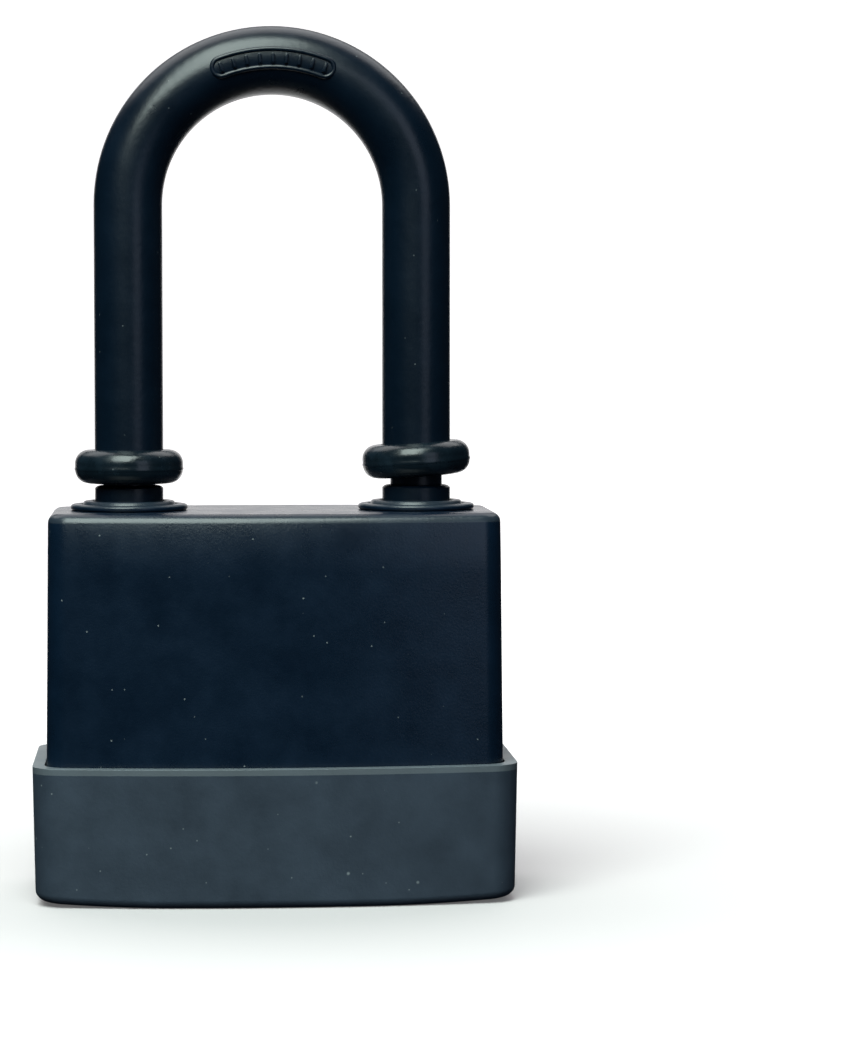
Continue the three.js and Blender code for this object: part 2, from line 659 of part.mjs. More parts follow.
function makeHousing() {
  const outline = housingPlan(HOUSING_RADIUS, BIBLE_HALF, BIBLE_TOP, WIDE_SIDES);
  const barrel = prism(outline, HOUSING_FRONT, HOUSING_BACK, [hole(0, 0, PLUG_BORE, WIDE_SIDES)]);
  const bores = pinHeights().map((z) => crossRod(PIN_BORE, PLUG_RADIUS, BIBLE_TOP + JOIN, z, PIN_BORE_SIDES));
  const half = PIN_BORE + GAP;
  const [low, high] = stripSpan();
  const bed = block(-half - GAP, half + GAP, STRIP_Y - GAP, BIBLE_TOP + JOIN, low - GAP, high + GAP);
  return cutFrom(solid(barrel), bed, ...bores);
}

// The two ends of the strip that closes the pin bores
function stripSpan() {
  const heights = pinHeights();
  return [heights[0] - PIN_BORE - GAP, heights[PIN_COUNT - 1] + PIN_BORE + GAP];
}

function makeChamberCover() {
  const [low, high] = stripSpan();
  const half = PIN_BORE + GAP;
  return block(-half, half, STRIP_Y, BIBLE_TOP, low, high);
}

function makePlug() {
  const profile = [
    [0, HOUSING_FRONT],
    [PLUG_RADIUS, HOUSING_FRONT],
    [PLUG_RADIUS, HOUSING_BACK],
    [TAIL_NECK, HOUSING_BACK],
    [TAIL_NECK, FLANGE_Z],
    [TAIL_FLANGE, FLANGE_Z],
    [TAIL_FLANGE, TAIL_TOP],
    [0, TAIL_TOP],
  ];
  const half = TONGUE_LENGTH / 2;
  const thick = TONGUE_THICKNESS / 2;
  const tongue = block(-half, half, -thick, thick, TAIL_TOP - JOIN, TAIL_TOP + TONGUE_HEIGHT);
  const slot = KEYWAY_WIDTH / 2;
  const back = HOUSING_BACK - KEYWAY_BACK_WALL;
  const keyway = block(-slot, slot, KEYWAY_LOW, KEYWAY_HIGH, HOUSING_FRONT - JOIN, back);
  const bottom = PLUG_RADIUS - GAP - Math.max(...KEY_PIN_LENGTHS) - GAP;
  const bores = pinHeights().map((z) => crossRod(PIN_BORE, bottom, PLUG_RADIUS + JOIN, z, PIN_BORE_SIDES));
  return cutFrom(joined(turned(profile, WIDE_SIDES), tongue), keyway, ...bores);
}

function makeKeyPin(index) {
  const top = PLUG_RADIUS - GAP;
  const length = KEY_PIN_LENGTHS[index];
  const profile = [
    [0, top - length],
    [KEY_PIN_TIP, top - length],
    [PIN_RADIUS, top - length + PIN_RADIUS - KEY_PIN_TIP],
    [PIN_RADIUS, top],
    [0, top],
  ];
  const points = profile.map(([radius, height]) => new THREE.Vector2(radius, height));
  return new THREE.LatheGeometry(points, SMALL_SIDES).translate(0, 0, pinHeights()[index]);
}

function makeDriverPin(index) {
  return crossRod(PIN_RADIUS, PLUG_BORE, DRIVER_TOP, pinHeights()[index], SMALL_SIDES);
}

function makePinSpring(index) {
  const low = SPRING_BASE;
  const high = low + PIN_SPRING_LENGTH;
  const radius = PIN_RADIUS - PIN_SPRING_WIRE;
  const spring = coil(radius, PIN_SPRING_WIRE, low, high, PIN_SPRING_TURNS, PIN_SPRING_STEPS);
  return spring.rotateX(-Math.PI / 2).translate(0, 0, pinHeights()[index]);
}

// An open ring that snaps onto the neck behind the plug
function makePlugClip() {
  const inner = TAIL_NECK + GAP;
  const half = TAIL_NECK - GAP;
  const outerAngle = Math.asin(half / CLIP_RADIUS);
  const innerAngle = Math.asin(half / inner);
  const outline = [
    ...arc(0, 0, CLIP_RADIUS, outerAngle, 2 * Math.PI - outerAngle, WIDE_SIDES),
    ...arc(0, 0, inner / Math.cos(Math.PI / ROD_SIDES), 2 * Math.PI - innerAngle, innerAngle, ROD_SIDES),
  ];
  return prism(outline, CLIP_Z, CLIP_Z + CLIP_THICKNESS);
}

// The cam's edge pushes the toe ball out by TOE_TRAVEL and the heel ball by HEEL_TRAVEL in a quarter turn
function camPlan() {
  const steps = CAM_STEPS;
  const quarter = Math.PI / 2;
  const points = [];
  for (let i = 0; i < steps; i += 1) {
    const angle = 2 * Math.PI * i / steps;
    const turn = Math.min(angle, 2 * Math.PI - angle);
    const rise = TOE_TRAVEL * Math.min(turn / quarter, 1);
    const fall = HEEL_TRAVEL * Math.max(turn / quarter - 1, 0);
    const radius = CAM_LOW + rise - fall;
    points.push(new THREE.Vector2(radius * Math.cos(angle), radius * Math.sin(angle)));
  }
  return points;
}

function makeLockCam() {
  const low = BALL_Z - BALL_RADIUS + GAP;
  const high = BALL_Z + BALL_RADIUS - GAP;
  const disc = prism(camPlan(), low, high);
  const stem = rod(STEM_RADIUS, STEM_BOTTOM, low + JOIN);
  const journal = rod(JOURNAL_RADIUS, high - JOIN, STACK_TOP - GAP, HOLE_SIDES);
  const half = TONGUE_LENGTH / 2 + GAP;
  const thick = TONGUE_THICKNESS / 2 + GAP;
  const slotTop = TAIL_TOP + TONGUE_HEIGHT + GAP;
  const slot = block(-half, half, -thick, thick, STEM_BOTTOM - JOIN, slotTop);
  return cutFrom(joined(disc, stem, journal), slot);
}

function makeHeelSpring() {
  const radius = ROD_RADIUS - TIP_CHAMFER - HEEL_SPRING_WIRE / 2;
  const low = plateBottom(1);
  const high = HEEL_END - GAP;
  const spring = coil(radius, HEEL_SPRING_WIRE, low, high, HEEL_SPRING_TURNS, HEEL_SPRING_STEPS);
  return spring.translate(-LEG_X, 0, 0);
}

function makeGasket() {
  const inner = WINDOW;
  const outer = inner + GASKET_WIDTH;
  const low = CAP_FLOOR + GAP;
  const high = HOUSING_FRONT - GAP;
  return ring([[inner, low], [outer, low], [outer, high], [inner, high]], WIDE_SIDES);
}

// ---------- keyhole cover ----------
// A rod along X on the cover's hinge line, half its length to each side
function hingeRod(radius, half, sides) {
  const geometry = new THREE.CylinderGeometry(radius, radius, 2 * half, sides);
  return geometry.rotateZ(Math.PI / 2).translate(0, HINGE_Y, HINGE_Z);
}

function hingeHole(half) {
  return hingeRod(HINGE_HOLE / Math.cos(Math.PI / HOLE_SIDES), half, HOLE_SIDES);
}

function makeKeyholeCover() {
  const half = RECESS_HALF - GAP;
  const front = RECESS_FRONT + COVER_CLEARANCE;
  const leaf = block(-half, half, front, HINGE_Y, COVER_LOW, COVER_LOW + COVER_THICKNESS);
  const knuckle = hingeRod(KNUCKLE, half, ROD_SIDES);
  const bossLow = COVER_LOW + COVER_THICKNESS - JOIN;
  const boss = rod(WINDOW - COVER_BOSS_MARGIN, bossLow, bossLow + JOIN + COVER_BOSS_HEIGHT);
  const grip = NAIL_GRIP_LENGTH / 2;
  const nailGrip = block(-grip, grip, front - JOIN, front + KNUCKLE, 0, COVER_LOW + KNUCKLE);
  const pinHole = hingeHole(RECESS_HALF);
  return cutFrom(joined(leaf, knuckle, boss), nailGrip, pinHole);
}

// ---------- assembly ----------
const padlock = new THREE.Group();

function add(name, geometry, material) {
  const mesh = new THREE.Mesh(geometry, material);
  mesh.name = name;
  padlock.add(mesh);
  return mesh;
}

add('upper_shell', shapeOf(makeUpperShell()), BLACK_PLASTIC);
add('base_cap', shapeOf(makeBaseCap()), GREY_PLASTIC);
add('left_bush', makeBush(), BLACK_PLASTIC).position.x = -LEG_X;
add('right_bush', makeBush(), BLACK_PLASTIC).position.x = LEG_X;

add('shackle', shapeOf(makeShackle()), COATED_STEEL);
add('left_seal', makeSeal(), RUBBER).position.set(-LEG_X, 0, BUSH_TOP + LEFT_SEAL_LIFT);
const rightSeal = add('right_seal', makeSeal(), RUBBER);
rightSeal.position.set(LEG_X, 0, BUSH_TOP + RIGHT_SEAL_LIFT);
rightSeal.rotation.y = -THREE.MathUtils.degToRad(RIGHT_SEAL_TILT);

for (let i = 0; i < PLATE_COUNT; i += 1) {
  add(`plate_${String(i + 1).padStart(2, '0')}`, makePlate(i), PLATE_STEEL);
}
for (let i = 0; i < 4; i += 1) {
  const rivet = add(`rivet_${i + 1}`, makeRivet(), BRIGHT_STEEL);
  rivet.position.set(i % 2 === 0 ? -RIVET_X : RIVET_X, i < 2 ? -RIVET_Y : RIVET_Y, 0);
}

add('cylinder_housing', shapeOf(makeHousing()), BRASS);
add('chamber_cover', makeChamberCover(), BRASS);
add('plug', shapeOf(makePlug()), BRASS);
add('plug_clip', makePlugClip(), BRIGHT_STEEL);
for (let i = 0; i < PIN_COUNT; i += 1) {
  add(`key_pin_${i + 1}`, makeKeyPin(i), BRASS);
  add(`driver_pin_${i + 1}`, makeDriverPin(i), BRIGHT_STEEL);
  add(`pin_spring_${i + 1}`, makePinSpring(i), BRIGHT_STEEL);
}

add('lock_cam', shapeOf(makeLockCam()), BRIGHT_STEEL);
add('toe_ball', sphere(BALL_RADIUS, TOE_FREE, BALL_Z), BRIGHT_STEEL);
add('heel_ball', sphere(BALL_RADIUS, -HEEL_FREE, BALL_Z), BRIGHT_STEEL);
add('heel_spring', makeHeelSpring(), BRIGHT_STEEL);
add('keyway_gasket', makeGasket(), RUBBER);
add('keyhole_cover', shapeOf(makeKeyholeCover()), BLACK_PLASTIC);
add('cover_hinge_pin', hingeRod(HINGE_PIN_RADIUS, RECESS_HALF + HINGE_PIN_GRIP, HOLE_SIDES), BRIGHT_STEEL);

export default padlock;
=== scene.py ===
"""A weatherproof padlock with a long shackle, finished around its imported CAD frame.

The file is laid out as an add-on: sizes and colours are properties, each piece is an operator, and
main() runs them in order.
"""
import json
import math

import bmesh
import bpy
from bpy.props import FloatProperty, FloatVectorProperty, IntProperty, PointerProperty
from mathutils import Euler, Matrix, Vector


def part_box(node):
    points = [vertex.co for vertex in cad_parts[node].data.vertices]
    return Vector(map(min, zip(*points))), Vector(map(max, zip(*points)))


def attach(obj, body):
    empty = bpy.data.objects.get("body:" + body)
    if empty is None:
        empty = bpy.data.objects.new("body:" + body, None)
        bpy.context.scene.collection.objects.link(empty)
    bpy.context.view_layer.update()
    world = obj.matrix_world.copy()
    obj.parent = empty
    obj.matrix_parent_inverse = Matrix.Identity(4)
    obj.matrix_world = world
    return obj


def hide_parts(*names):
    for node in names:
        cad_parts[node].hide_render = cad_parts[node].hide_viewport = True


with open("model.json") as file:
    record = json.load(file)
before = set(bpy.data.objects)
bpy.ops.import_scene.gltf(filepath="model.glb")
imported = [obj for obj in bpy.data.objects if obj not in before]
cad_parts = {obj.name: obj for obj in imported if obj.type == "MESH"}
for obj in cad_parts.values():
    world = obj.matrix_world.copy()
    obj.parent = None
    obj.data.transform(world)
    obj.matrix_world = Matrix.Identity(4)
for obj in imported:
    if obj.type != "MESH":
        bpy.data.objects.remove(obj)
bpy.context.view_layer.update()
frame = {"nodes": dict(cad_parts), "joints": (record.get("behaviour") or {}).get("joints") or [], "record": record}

NODES = frame["nodes"]
MM = 0.001

bl_info = {
    "name": "Weatherproof Padlock",
    "version": (1, 0, 0),
    "blender": (4, 5, 0),
    "location": "View3D > Sidebar > Padlock",
    "description": "Builds a jacketed padlock with a long shackle around its CAD frame",
    "category": "Add Mesh",
}

FLOOR_JOINT = 0.004  # where the two halves of the white ground meet, under the lock
TINY = 1e-6  # how near a vertex has to lie to a level to be on it
FACE_STEPS = 48  # segments along a bowed front or back
UPRIGHT_STEPS = 10  # segments round an upright corner
CROWN_LEVELS = 10  # bands in the curve below the jacket's top
BEND_STEPS = 72  # segments round the shackle's bend
TURN_STEPS = 128  # segments round a turned piece
SEAL_CORNER_STEPS = 12
RIM_STEPS = 16
BORDER_STEPS = 14
SHEET_STEPS = 96
CURVE_STEPS = 24

# ---------- places read from the frame ----------
CAP_LOW, CAP_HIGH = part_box("base_cap")
JACKET_LOW, JACKET_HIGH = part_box("upper_shell")
ROD_LOW, ROD_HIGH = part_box("shackle")
BUSH_LOW, BUSH_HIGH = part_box("right_bush")
LEFT_SEAL_LOW, LEFT_SEAL_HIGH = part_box("left_seal")
RIGHT_SEAL_LOW, RIGHT_SEAL_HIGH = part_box("right_seal")
COVER_LOW, COVER_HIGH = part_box("keyhole_cover")
TOE_BALL_LOW, TOE_BALL_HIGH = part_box("toe_ball")
HEEL_BALL_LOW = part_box("heel_ball")[0]
HINGE_LOW, HINGE_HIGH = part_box("cover_hinge_pin")
LEG_X = (BUSH_LOW.x + BUSH_HIGH.x) / 2
ROD_RADIUS = ROD_HIGH.x - LEG_X
CROWN_Z = ROD_HIGH.z - ROD_RADIUS - LEG_X
JOINTS = {joint["name"]: joint for joint in frame["joints"]}
LIFT = JOINTS["shackle_lift"]["range_m"][1]


def linear(hex_colour):
    """An sRGB hex colour as a linear RGBA tuple."""
    channels = [int(hex_colour[i:i + 2], 16) / 255 for i in (1, 3, 5)]
    return (*[c / 12.92 if c <= 0.04045 else ((c + 0.055) / 1.055) ** 2.4 for c in channels], 1.0)


def length(name, description, default):
    return FloatProperty(name=name, description=description, default=default, unit="LENGTH", precision=5)


def colour(name, description, hex_colour):
    return FloatVectorProperty(
        name=name, description=description, default=linear(hex_colour), size=4, subtype="COLOR"
    )


# ---------- properties ----------
class PadlockSizes(bpy.types.PropertyGroup):
    """Sizes that the frame's boxes don't give."""
    face_bow: length("Face bow", "How far the front and back faces bow out", 2.2 * MM)
    ledge: length("Cap ledge", "How far the cap's rim stands out from the jacket", 2 * MM)
    jacket_draft: length("Jacket draft", "Growth of each side from top to foot", 0.5 * MM)
    jacket_corner: length("Jacket corner", "Radius of the jacket's upright corners", 3.4 * MM)
    jacket_edge: length("Jacket top edge", "Radius along the jacket's top edge", 1.3 * MM)
    crown_reach: length("Crown reach", "How far down the front and back their curve starts", 8.5 * MM)
    crown_depth: length("Crown depth", "How far the front and back curve in at the top", 1.1 * MM)
    jacket_wall: length("Jacket wall", "Thickness of the jacket's sides", 1.75 * MM)
    jacket_roof: length("Jacket roof", "Thickness of the jacket's top", 1.7 * MM)
    cap_draft: length("Cap draft", "Taper of each side of the cap from rim to foot", 0.35 * MM)
    cap_corner: length("Cap corner", "Radius of the cap's upright corners", 4.4 * MM)
    cap_floor: length("Cap floor", "Thickness of the cap's floor", 4.2 * MM)
    cap_land: length("Cap land", "Half length of the flat that the lock stands on", 13.5 * MM)
    cap_lift: length("Cap end lift", "How far the underside rises at its ends", 0.9 * MM)
    rim_edge: length("Rim edge", "Radius along the cap's rim", 0.95 * MM)
    foot_edge: length("Foot edge", "Radius along the cap's foot", 1.3 * MM)
    seam: length("Seam", "Gap between jacket and cap", 0.3 * MM)
    neck_radius: length("Neck radius", "Rod radius in the seal grooves", 3.8 * MM)
    neck_length: length("Neck length", "Height of the seal grooves", 4.4 * MM)
    neck_lift: length("Neck lift", "From a bush's top to its seal groove", 2.2 * MM)
    tip_chamfer: length("Tip chamfer", "Chamfer on the ends of the rod", 1 * MM)
    notch_clearance: length("Notch clearance", "Room around the balls in the rod's notches", 0.3 * MM)
    badge_length: length("Badge length", "Length of the raised border on the crown", 18 * MM)
    badge_height: length("Badge height", "Height of the raised border on the crown", 2.6 * MM)
    badge_bead: length("Badge bead", "Radius of the raised border's bead", 0.36 * MM)
    badge_bar_length: length("Badge bar length", "Height of each plain bar", 1.5 * MM)
    badge_bar_width: length("Badge bar width", "Width of each plain bar", 0.5 * MM)
    badge_bar_depth: length("Badge bar depth", "Depth of each plain bar, half of it in the rod", 1.15 * MM)
    seal_bore: length("Seal bore", "Radius of the seals' bore, snug on the rod", 5.04 * MM)
    seal_corner: length("Seal corner", "Radius of the seals' outer corners", 2 * MM)
    parting_height: length("Parting ridge height", "Height of the seals' moulding ridge", 0.1 * MM)
    parting_width: length("Parting ridge width", "Width of the seals' moulding ridge", 0.5 * MM)
    bush_bore: length("Bush bore", "Radius of the bushes' bore", 5.4 * MM)
    bush_radius: length("Bush radius", "Radius of a bush below its flange", 6.5 * MM)
    window_radius: length("Window radius", "Radius of the keyhole window", 7.6 * MM)
    recess_depth: length("Recess depth", "Depth of the keyhole cover's recess", 2.8 * MM)
    ground_radius: length("Ground radius", "How far the white sheet reaches", 5.0)
    ground_curve: length("Ground curve", "Radius of the sheet's upward curve", 1.0)
    badge_bars: IntProperty(name="Badge bars", description="Plain bars inside the border", default=9)


class PadlockColours(bpy.types.PropertyGroup):
    """Colours of the finishes."""
    jacket: colour("Jacket", "Blue-black moulded ABS", "#08192A")
    cap: colour("Cap", "Slate-grey moulded nylon", "#38424F")
    rod: colour("Rod", "Black coating on the shackle", "#03101D")
    rubber: colour("Rubber", "Black rubber of the seals", "#0C171F")
    # Also the colour of the highlight painted as a pale band along the plastic pieces' edges.
    dust: colour("Dust", "Pale dust and rubbed marks", "#A9B2B4")
    steel: colour("Steel", "Turned and hardened steel", "#B9BCBE")
    plate: colour("Plate", "Stamped mild steel", "#8F9294")
    brass: colour("Brass", "Turned brass", "#C9A35B")
    ground: colour("Ground", "White studio ground", "#CFC8CA")
    room: colour("Room", "Faint light from the rest of the room", "#8FA4C0")
    lamp: colour("Main light", "Large soft light above the front", "#EAFBF4")
    strip: colour("Side light", "Narrow soft light at the right", "#DCE8FF")


def sizes():
    return bpy.context.scene.padlock_sizes


def colours():
    return bpy.context.scene.padlock_colours


# ---------- modelling helpers ----------
def deselect():
    if bpy.context.object and bpy.context.object.mode != "OBJECT":
        bpy.ops.object.mode_set(mode="OBJECT")
    bpy.ops.object.select_all(action="DESELECT")


def take(piece):
    """Makes a piece the only selected one, and the active one."""
    deselect()
    piece.select_set(True)
    bpy.context.view_layer.objects.active = piece


def added(name):
    """Names the primitive that was just added, and puts its place into its mesh."""
    piece = bpy.context.object
    piece.name = name
    piece.data.name = name
    bpy.ops.object.transform_apply(location=True, rotation=True, scale=True)
    return piece


def block(name, low, high):
    """A box between two corners."""
    deselect()
    centre = (Vector(low) + Vector(high)) / 2
    bpy.ops.mesh.primitive_cube_add(size=1, location=centre)
    bpy.context.object.scale = Vector(high) - Vector(low)
    return added(name)


def cylinder(name, radius, centre, depth, axis="Z", vertices=96):
    """A cylinder along one axis."""
    deselect()
    turn = {"X": (0, math.pi / 2, 0), "Y": (math.pi / 2, 0, 0), "Z": (0, 0, 0)}[axis]
    bpy.ops.mesh.primitive_cylinder_add(
        vertices=vertices, radius=radius, depth=depth, location=centre, rotation=turn
    )
    return added(name)


def pick(piece, kind, test):
    """Enters edit mode with only the vertices, edges or faces selected whose corners pass the test."""
    take(piece)
    bpy.ops.object.mode_set(mode="EDIT")
    bpy.ops.mesh.select_mode(type=kind)
    bpy.ops.mesh.select_all(action="DESELECT")
    mesh = bmesh.from_edit_mesh(piece.data)
    items = {"VERT": mesh.verts, "EDGE": mesh.edges, "FACE": mesh.faces}[kind]
    chosen = 0
    for item in items:
        corners = [item.co] if kind == "VERT" else [vertex.co for vertex in item.verts]
        if test(corners):
            item.select_set(True)
            chosen += 1
    mesh.select_flush_mode()
    bmesh.update_edit_mesh(piece.data)
    if not chosen:
        raise RuntimeError(f"nothing to select on {piece.name}")


def done(piece):
    """Leaves edit mode with merged vertices and outward normals."""
    bpy.ops.mesh.select_all(action="SELECT")
    bpy.ops.mesh.remove_doubles(threshold=0.002 * MM)
    bpy.ops.mesh.normals_make_consistent(inside=False)
    bpy.ops.object.mode_set(mode="OBJECT")
    return piece


def modify(piece, kind, **settings):
    """Adds a modifier and applies it."""
    take(piece)
    modifier = piece.modifiers.new(kind.title(), kind)
    for name, value in settings.items():
        setattr(modifier, name, value)
    bpy.ops.object.modifier_apply(modifier=modifier.name)


def combine(piece, tool, operation="DIFFERENCE"):
    """Cuts a tool from a piece, joins it on, or keeps what they share, and uses the tool up."""
    modify(piece, "BOOLEAN", object=tool, operation=operation, solver="EXACT")
    bpy.data.objects.remove(tool)


def twin(piece, name):
    """A copy of a piece with its own mesh."""
    take(piece)
    bpy.ops.object.duplicate(linked=False)
    copy = bpy.context.object
    copy.name = name
    copy.data.name = name
    return copy


def shift_piece(piece, offset, tilt=0.0):
    """Tilts a piece about the Y axis and moves it, keeping its place in its mesh."""
    take(piece)
    piece.rotation_euler = (0, tilt, 0)
    piece.location = offset
    bpy.ops.object.transform_apply(location=True, rotation=True, scale=True)


def join(first, *others):
    """Joins objects that don't touch into one mesh."""
    take(first)
    for other in others:
        other.select_set(True)
    bpy.ops.object.join()
    return first


def smooth(piece, degrees=35):
    """Smooth shading that keeps broad faces flat."""
    take(piece)
    bpy.ops.object.shade_smooth_by_angle(angle=math.radians(degrees))
    modify(piece, "WEIGHTED_NORMAL", keep_sharp=True, weight=60)


def finish_piece(piece, material, body, slot, *replaced):
    """Gives a piece its material, its body and the CAD nodes that it stands for."""
    piece.data.materials.clear()
    piece.data.materials.append(material)
    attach(piece, body)
    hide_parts(*replaced)
    return piece


# ---------- materials ----------
def feed(tree, node, inputs):
    """Sets a node's inputs: each is a number, a colour or an output to link."""
    for name, value in inputs.items():
        if isinstance(value, bpy.types.NodeSocket):
            tree.links.new(value, node.inputs[name])
        else:
            node.inputs[name].default_value = value


def add(tree, kind, inputs, output=0, **settings):
    """Adds a node with its settings and links, and returns one of its outputs."""
    node = tree.nodes.new(kind)
    for name, value in settings.items():
        setattr(node, name, value)
    feed(tree, node, inputs)
    return node.outputs[output]


def new_material(name):
    """An empty node material with its shader, and the object's own coordinates."""
    material = bpy.data.materials.new(name)
    material.use_nodes = True
    tree = material.node_tree
    place = add(tree, "ShaderNodeTexCoord", {}, "Object")
    return material, tree, tree.nodes["Principled BSDF"], place


def shade(colour_value, factor):
    """A colour made darker or lighter."""
    return (*[min(1.0, factor * channel) for channel in tuple(colour_value)[:3]], 1.0)


def specks(tree, place, spacing, size, share):
    """Round specks about as wide as size, in a given share of cells as wide as spacing."""
    cell = {"Vector": place, "Scale": 1 / spacing, "Randomness": 1.0}
    near = add(tree, "ShaderNodeTexVoronoi", cell, "Distance")
    number = near.node.outputs["Color"]
    width = size / spacing
    fade = {"Value": near, "From Min": 0.3 * width, "From Max": width, "To Min": 1.0, "To Max": 0.0}
    spot = add(tree, "ShaderNodeMapRange", fade)
    red = add(tree, "ShaderNodeSeparateColor", {"Color": number}, "Red")
    kept = add(tree, "ShaderNodeMath", {0: red, 1: share}, operation="LESS_THAN")
    return add(tree, "ShaderNodeMath", {0: spot, 1: kept}, operation="MULTIPLY")


def scratches(tree, place, spacing, stretch, turn, width, share):
    """Short straight scratches: specks drawn out along one direction."""
    slant = {"Vector": place, "Rotation": Euler(turn), "Scale": (1.0, 1.0, 1 / stretch)}
    drawn = add(tree, "ShaderNodeMapping", slant)
    return specks(tree, drawn, spacing, width, share)


def handling_marks(tree, place):
    """Dust, fluff and short scratches, as pale marks from 0 to 1."""
    marks = (
        specks(tree, place, 1.7 * MM, 0.15 * MM, 0.28),
        specks(tree, place, 5 * MM, 0.3 * MM, 0.12),
        scratches(tree, place, 5.5 * MM, 6.0, (0.0, 0.7, 0.0), 0.13 * MM, 0.12),
        scratches(tree, place, 7 * MM, 5.0, (0.4, -0.5, 0.2), 0.12 * MM, 0.12),
    )
    strongest = marks[0]
    for mark in marks[1:]:
        strongest = add(tree, "ShaderNodeMath", {0: strongest, 1: mark}, operation="MAXIMUM")
    return strongest


def moulded_plastic(name, base, roughness, grain, mottle, edge, highlight_strength):
    """Injection-moulded plastic, lightly spark-textured: satin, with dust, and a highlight painted pale along one
    edge.
    """
    material, tree, shader, place = new_material(name)
    cloud_size = {"Vector": place, "Scale": 1 / (7 * MM), "Detail": 5.0, "Roughness": 0.62}
    clouds = add(tree, "ShaderNodeTexNoise", cloud_size)
    cloudy = add(tree, "ShaderNodeMapRange", {"Value": clouds, "From Min": 0.3, "From Max": 0.75})
    tones = {0: cloudy, 6: shade(base, 0.82), 7: shade(base, 1 + mottle)}
    tone = add(tree, "ShaderNodeMix", tones, 2, data_type="RGBA")
    pale = handling_marks(tree, place)
    height = add(tree, "ShaderNodeSeparateXYZ", {"Vector": place}, "Z")
    # Painted highlight: a pale band of the dust colour at the given height, standing for light caught along that
    # edge.
    highlight_band = add(tree, "ShaderNodeMath", {0: height, 1: edge, 2: 0.5 * MM}, operation="COMPARE")
    painted_edge_highlight = add(tree, "ShaderNodeMath", {0: highlight_band, 1: highlight_strength}, operation="MULTIPLY")
    # Dust marks plus the painted edge highlight.
    pale_share = add(tree, "ShaderNodeMath", {0: pale, 1: 0.55, 2: painted_edge_highlight}, operation="MULTIPLY_ADD")
    pale_mixed = add(tree, "ShaderNodeMix", {0: pale_share, 6: tone, 7: tuple(colours().dust)}, 2, data_type="RGBA")
    smoother, rougher = roughness - 0.04, roughness + 0.05
    satin = {"Value": clouds, "From Min": 0.3, "From Max": 0.7, "To Min": smoother, "To Max": rougher}
    gloss = add(tree, "ShaderNodeMapRange", satin)
    duller = add(tree, "ShaderNodeMath", {0: pale, 1: 0.2, 2: gloss}, operation="MULTIPLY_ADD")
    grain_size = {"Vector": place, "Scale": 1 / grain, "Detail": 2.0, "Roughness": 0.6}
    fine = add(tree, "ShaderNodeTexNoise", grain_size)
    relief = add(tree, "ShaderNodeBump", {"Height": fine, "Distance": 0.02 * MM})
    feed(tree, shader, {"Base Color": pale_mixed, "Roughness": duller, "Normal": relief, "IOR": 1.49})
    return material


def coated_steel():
    """Hardened steel rod with a baked black coating: satin, with a slight orange peel and rubbed marks."""
    material, tree, shader, place = new_material("Black coated hardened steel")
    base = colours().rod
    patch_size = {"Vector": place, "Scale": 1 / (9 * MM), "Detail": 4.0, "Roughness": 0.55}
    patches = add(tree, "ShaderNodeTexNoise", patch_size)
    patchy = add(tree, "ShaderNodeMapRange", {"Value": patches, "From Min": 0.35, "From Max": 0.7})
    tone = add(tree, "ShaderNodeMix", {0: patchy, 6: tuple(base), 7: shade(base, 1.5)}, 2, data_type="RGBA")
    pale = handling_marks(tree, place)
    pale_share = add(tree, "ShaderNodeMath", {0: pale, 1: 0.28}, operation="MULTIPLY")
    pale_mixed = add(tree, "ShaderNodeMix", {0: pale_share, 6: tone, 7: tuple(colours().dust)}, 2, data_type="RGBA")
    satin = {"Value": patches, "From Min": 0.3, "From Max": 0.7, "To Min": 0.27, "To Max": 0.36}
    gloss = add(tree, "ShaderNodeMapRange", satin)
    peel = add(tree, "ShaderNodeTexNoise", {"Vector": place, "Scale": 1 / (0.9 * MM), "Detail": 2.0})
    relief = add(tree, "ShaderNodeBump", {"Height": peel, "Distance": 0.025 * MM})
    feed(tree, shader, {"Base Color": pale_mixed, "Roughness": gloss, "Normal": relief, "IOR": 1.5})
    return material


def moulded_rubber():
    """Compression-moulded rubber: black and smooth, with a soft gloss and a bloom of dust."""
    material, tree, shader, place = new_material("Moulded black rubber")
    base = colours().rubber
    bloom_size = {"Vector": place, "Scale": 1 / (3 * MM), "Detail": 4.0, "Roughness": 0.6}
    bloom = add(tree, "ShaderNodeTexNoise", bloom_size)
    bloomed = add(tree, "ShaderNodeMapRange", {"Value": bloom, "From Min": 0.45, "From Max": 0.75})
    tone = add(tree, "ShaderNodeMix", {0: bloomed, 6: tuple(base), 7: shade(base, 1.9)}, 2, data_type="RGBA")
    dust = specks(tree, place, 1.3 * MM, 0.12 * MM, 0.2)
    pale_share = add(tree, "ShaderNodeMath", {0: dust, 1: 0.35}, operation="MULTIPLY")
    pale_mixed = add(tree, "ShaderNodeMix", {0: pale_share, 6: tone, 7: tuple(colours().dust)}, 2, data_type="RGBA")
    soft = {"Value": bloom, "From Min": 0.3, "From Max": 0.75, "To Min": 0.2, "To Max": 0.34}
    gloss = add(tree, "ShaderNodeMapRange", soft)
    skin = add(tree, "ShaderNodeTexNoise", {"Vector": place, "Scale": 1 / (0.5 * MM), "Detail": 2.0})
    relief = add(tree, "ShaderNodeBump", {"Height": skin, "Distance": 0.02 * MM})
    feed(tree, shader, {"Base Color": pale_mixed, "Roughness": gloss, "Normal": relief, "IOR": 1.52})
    return material


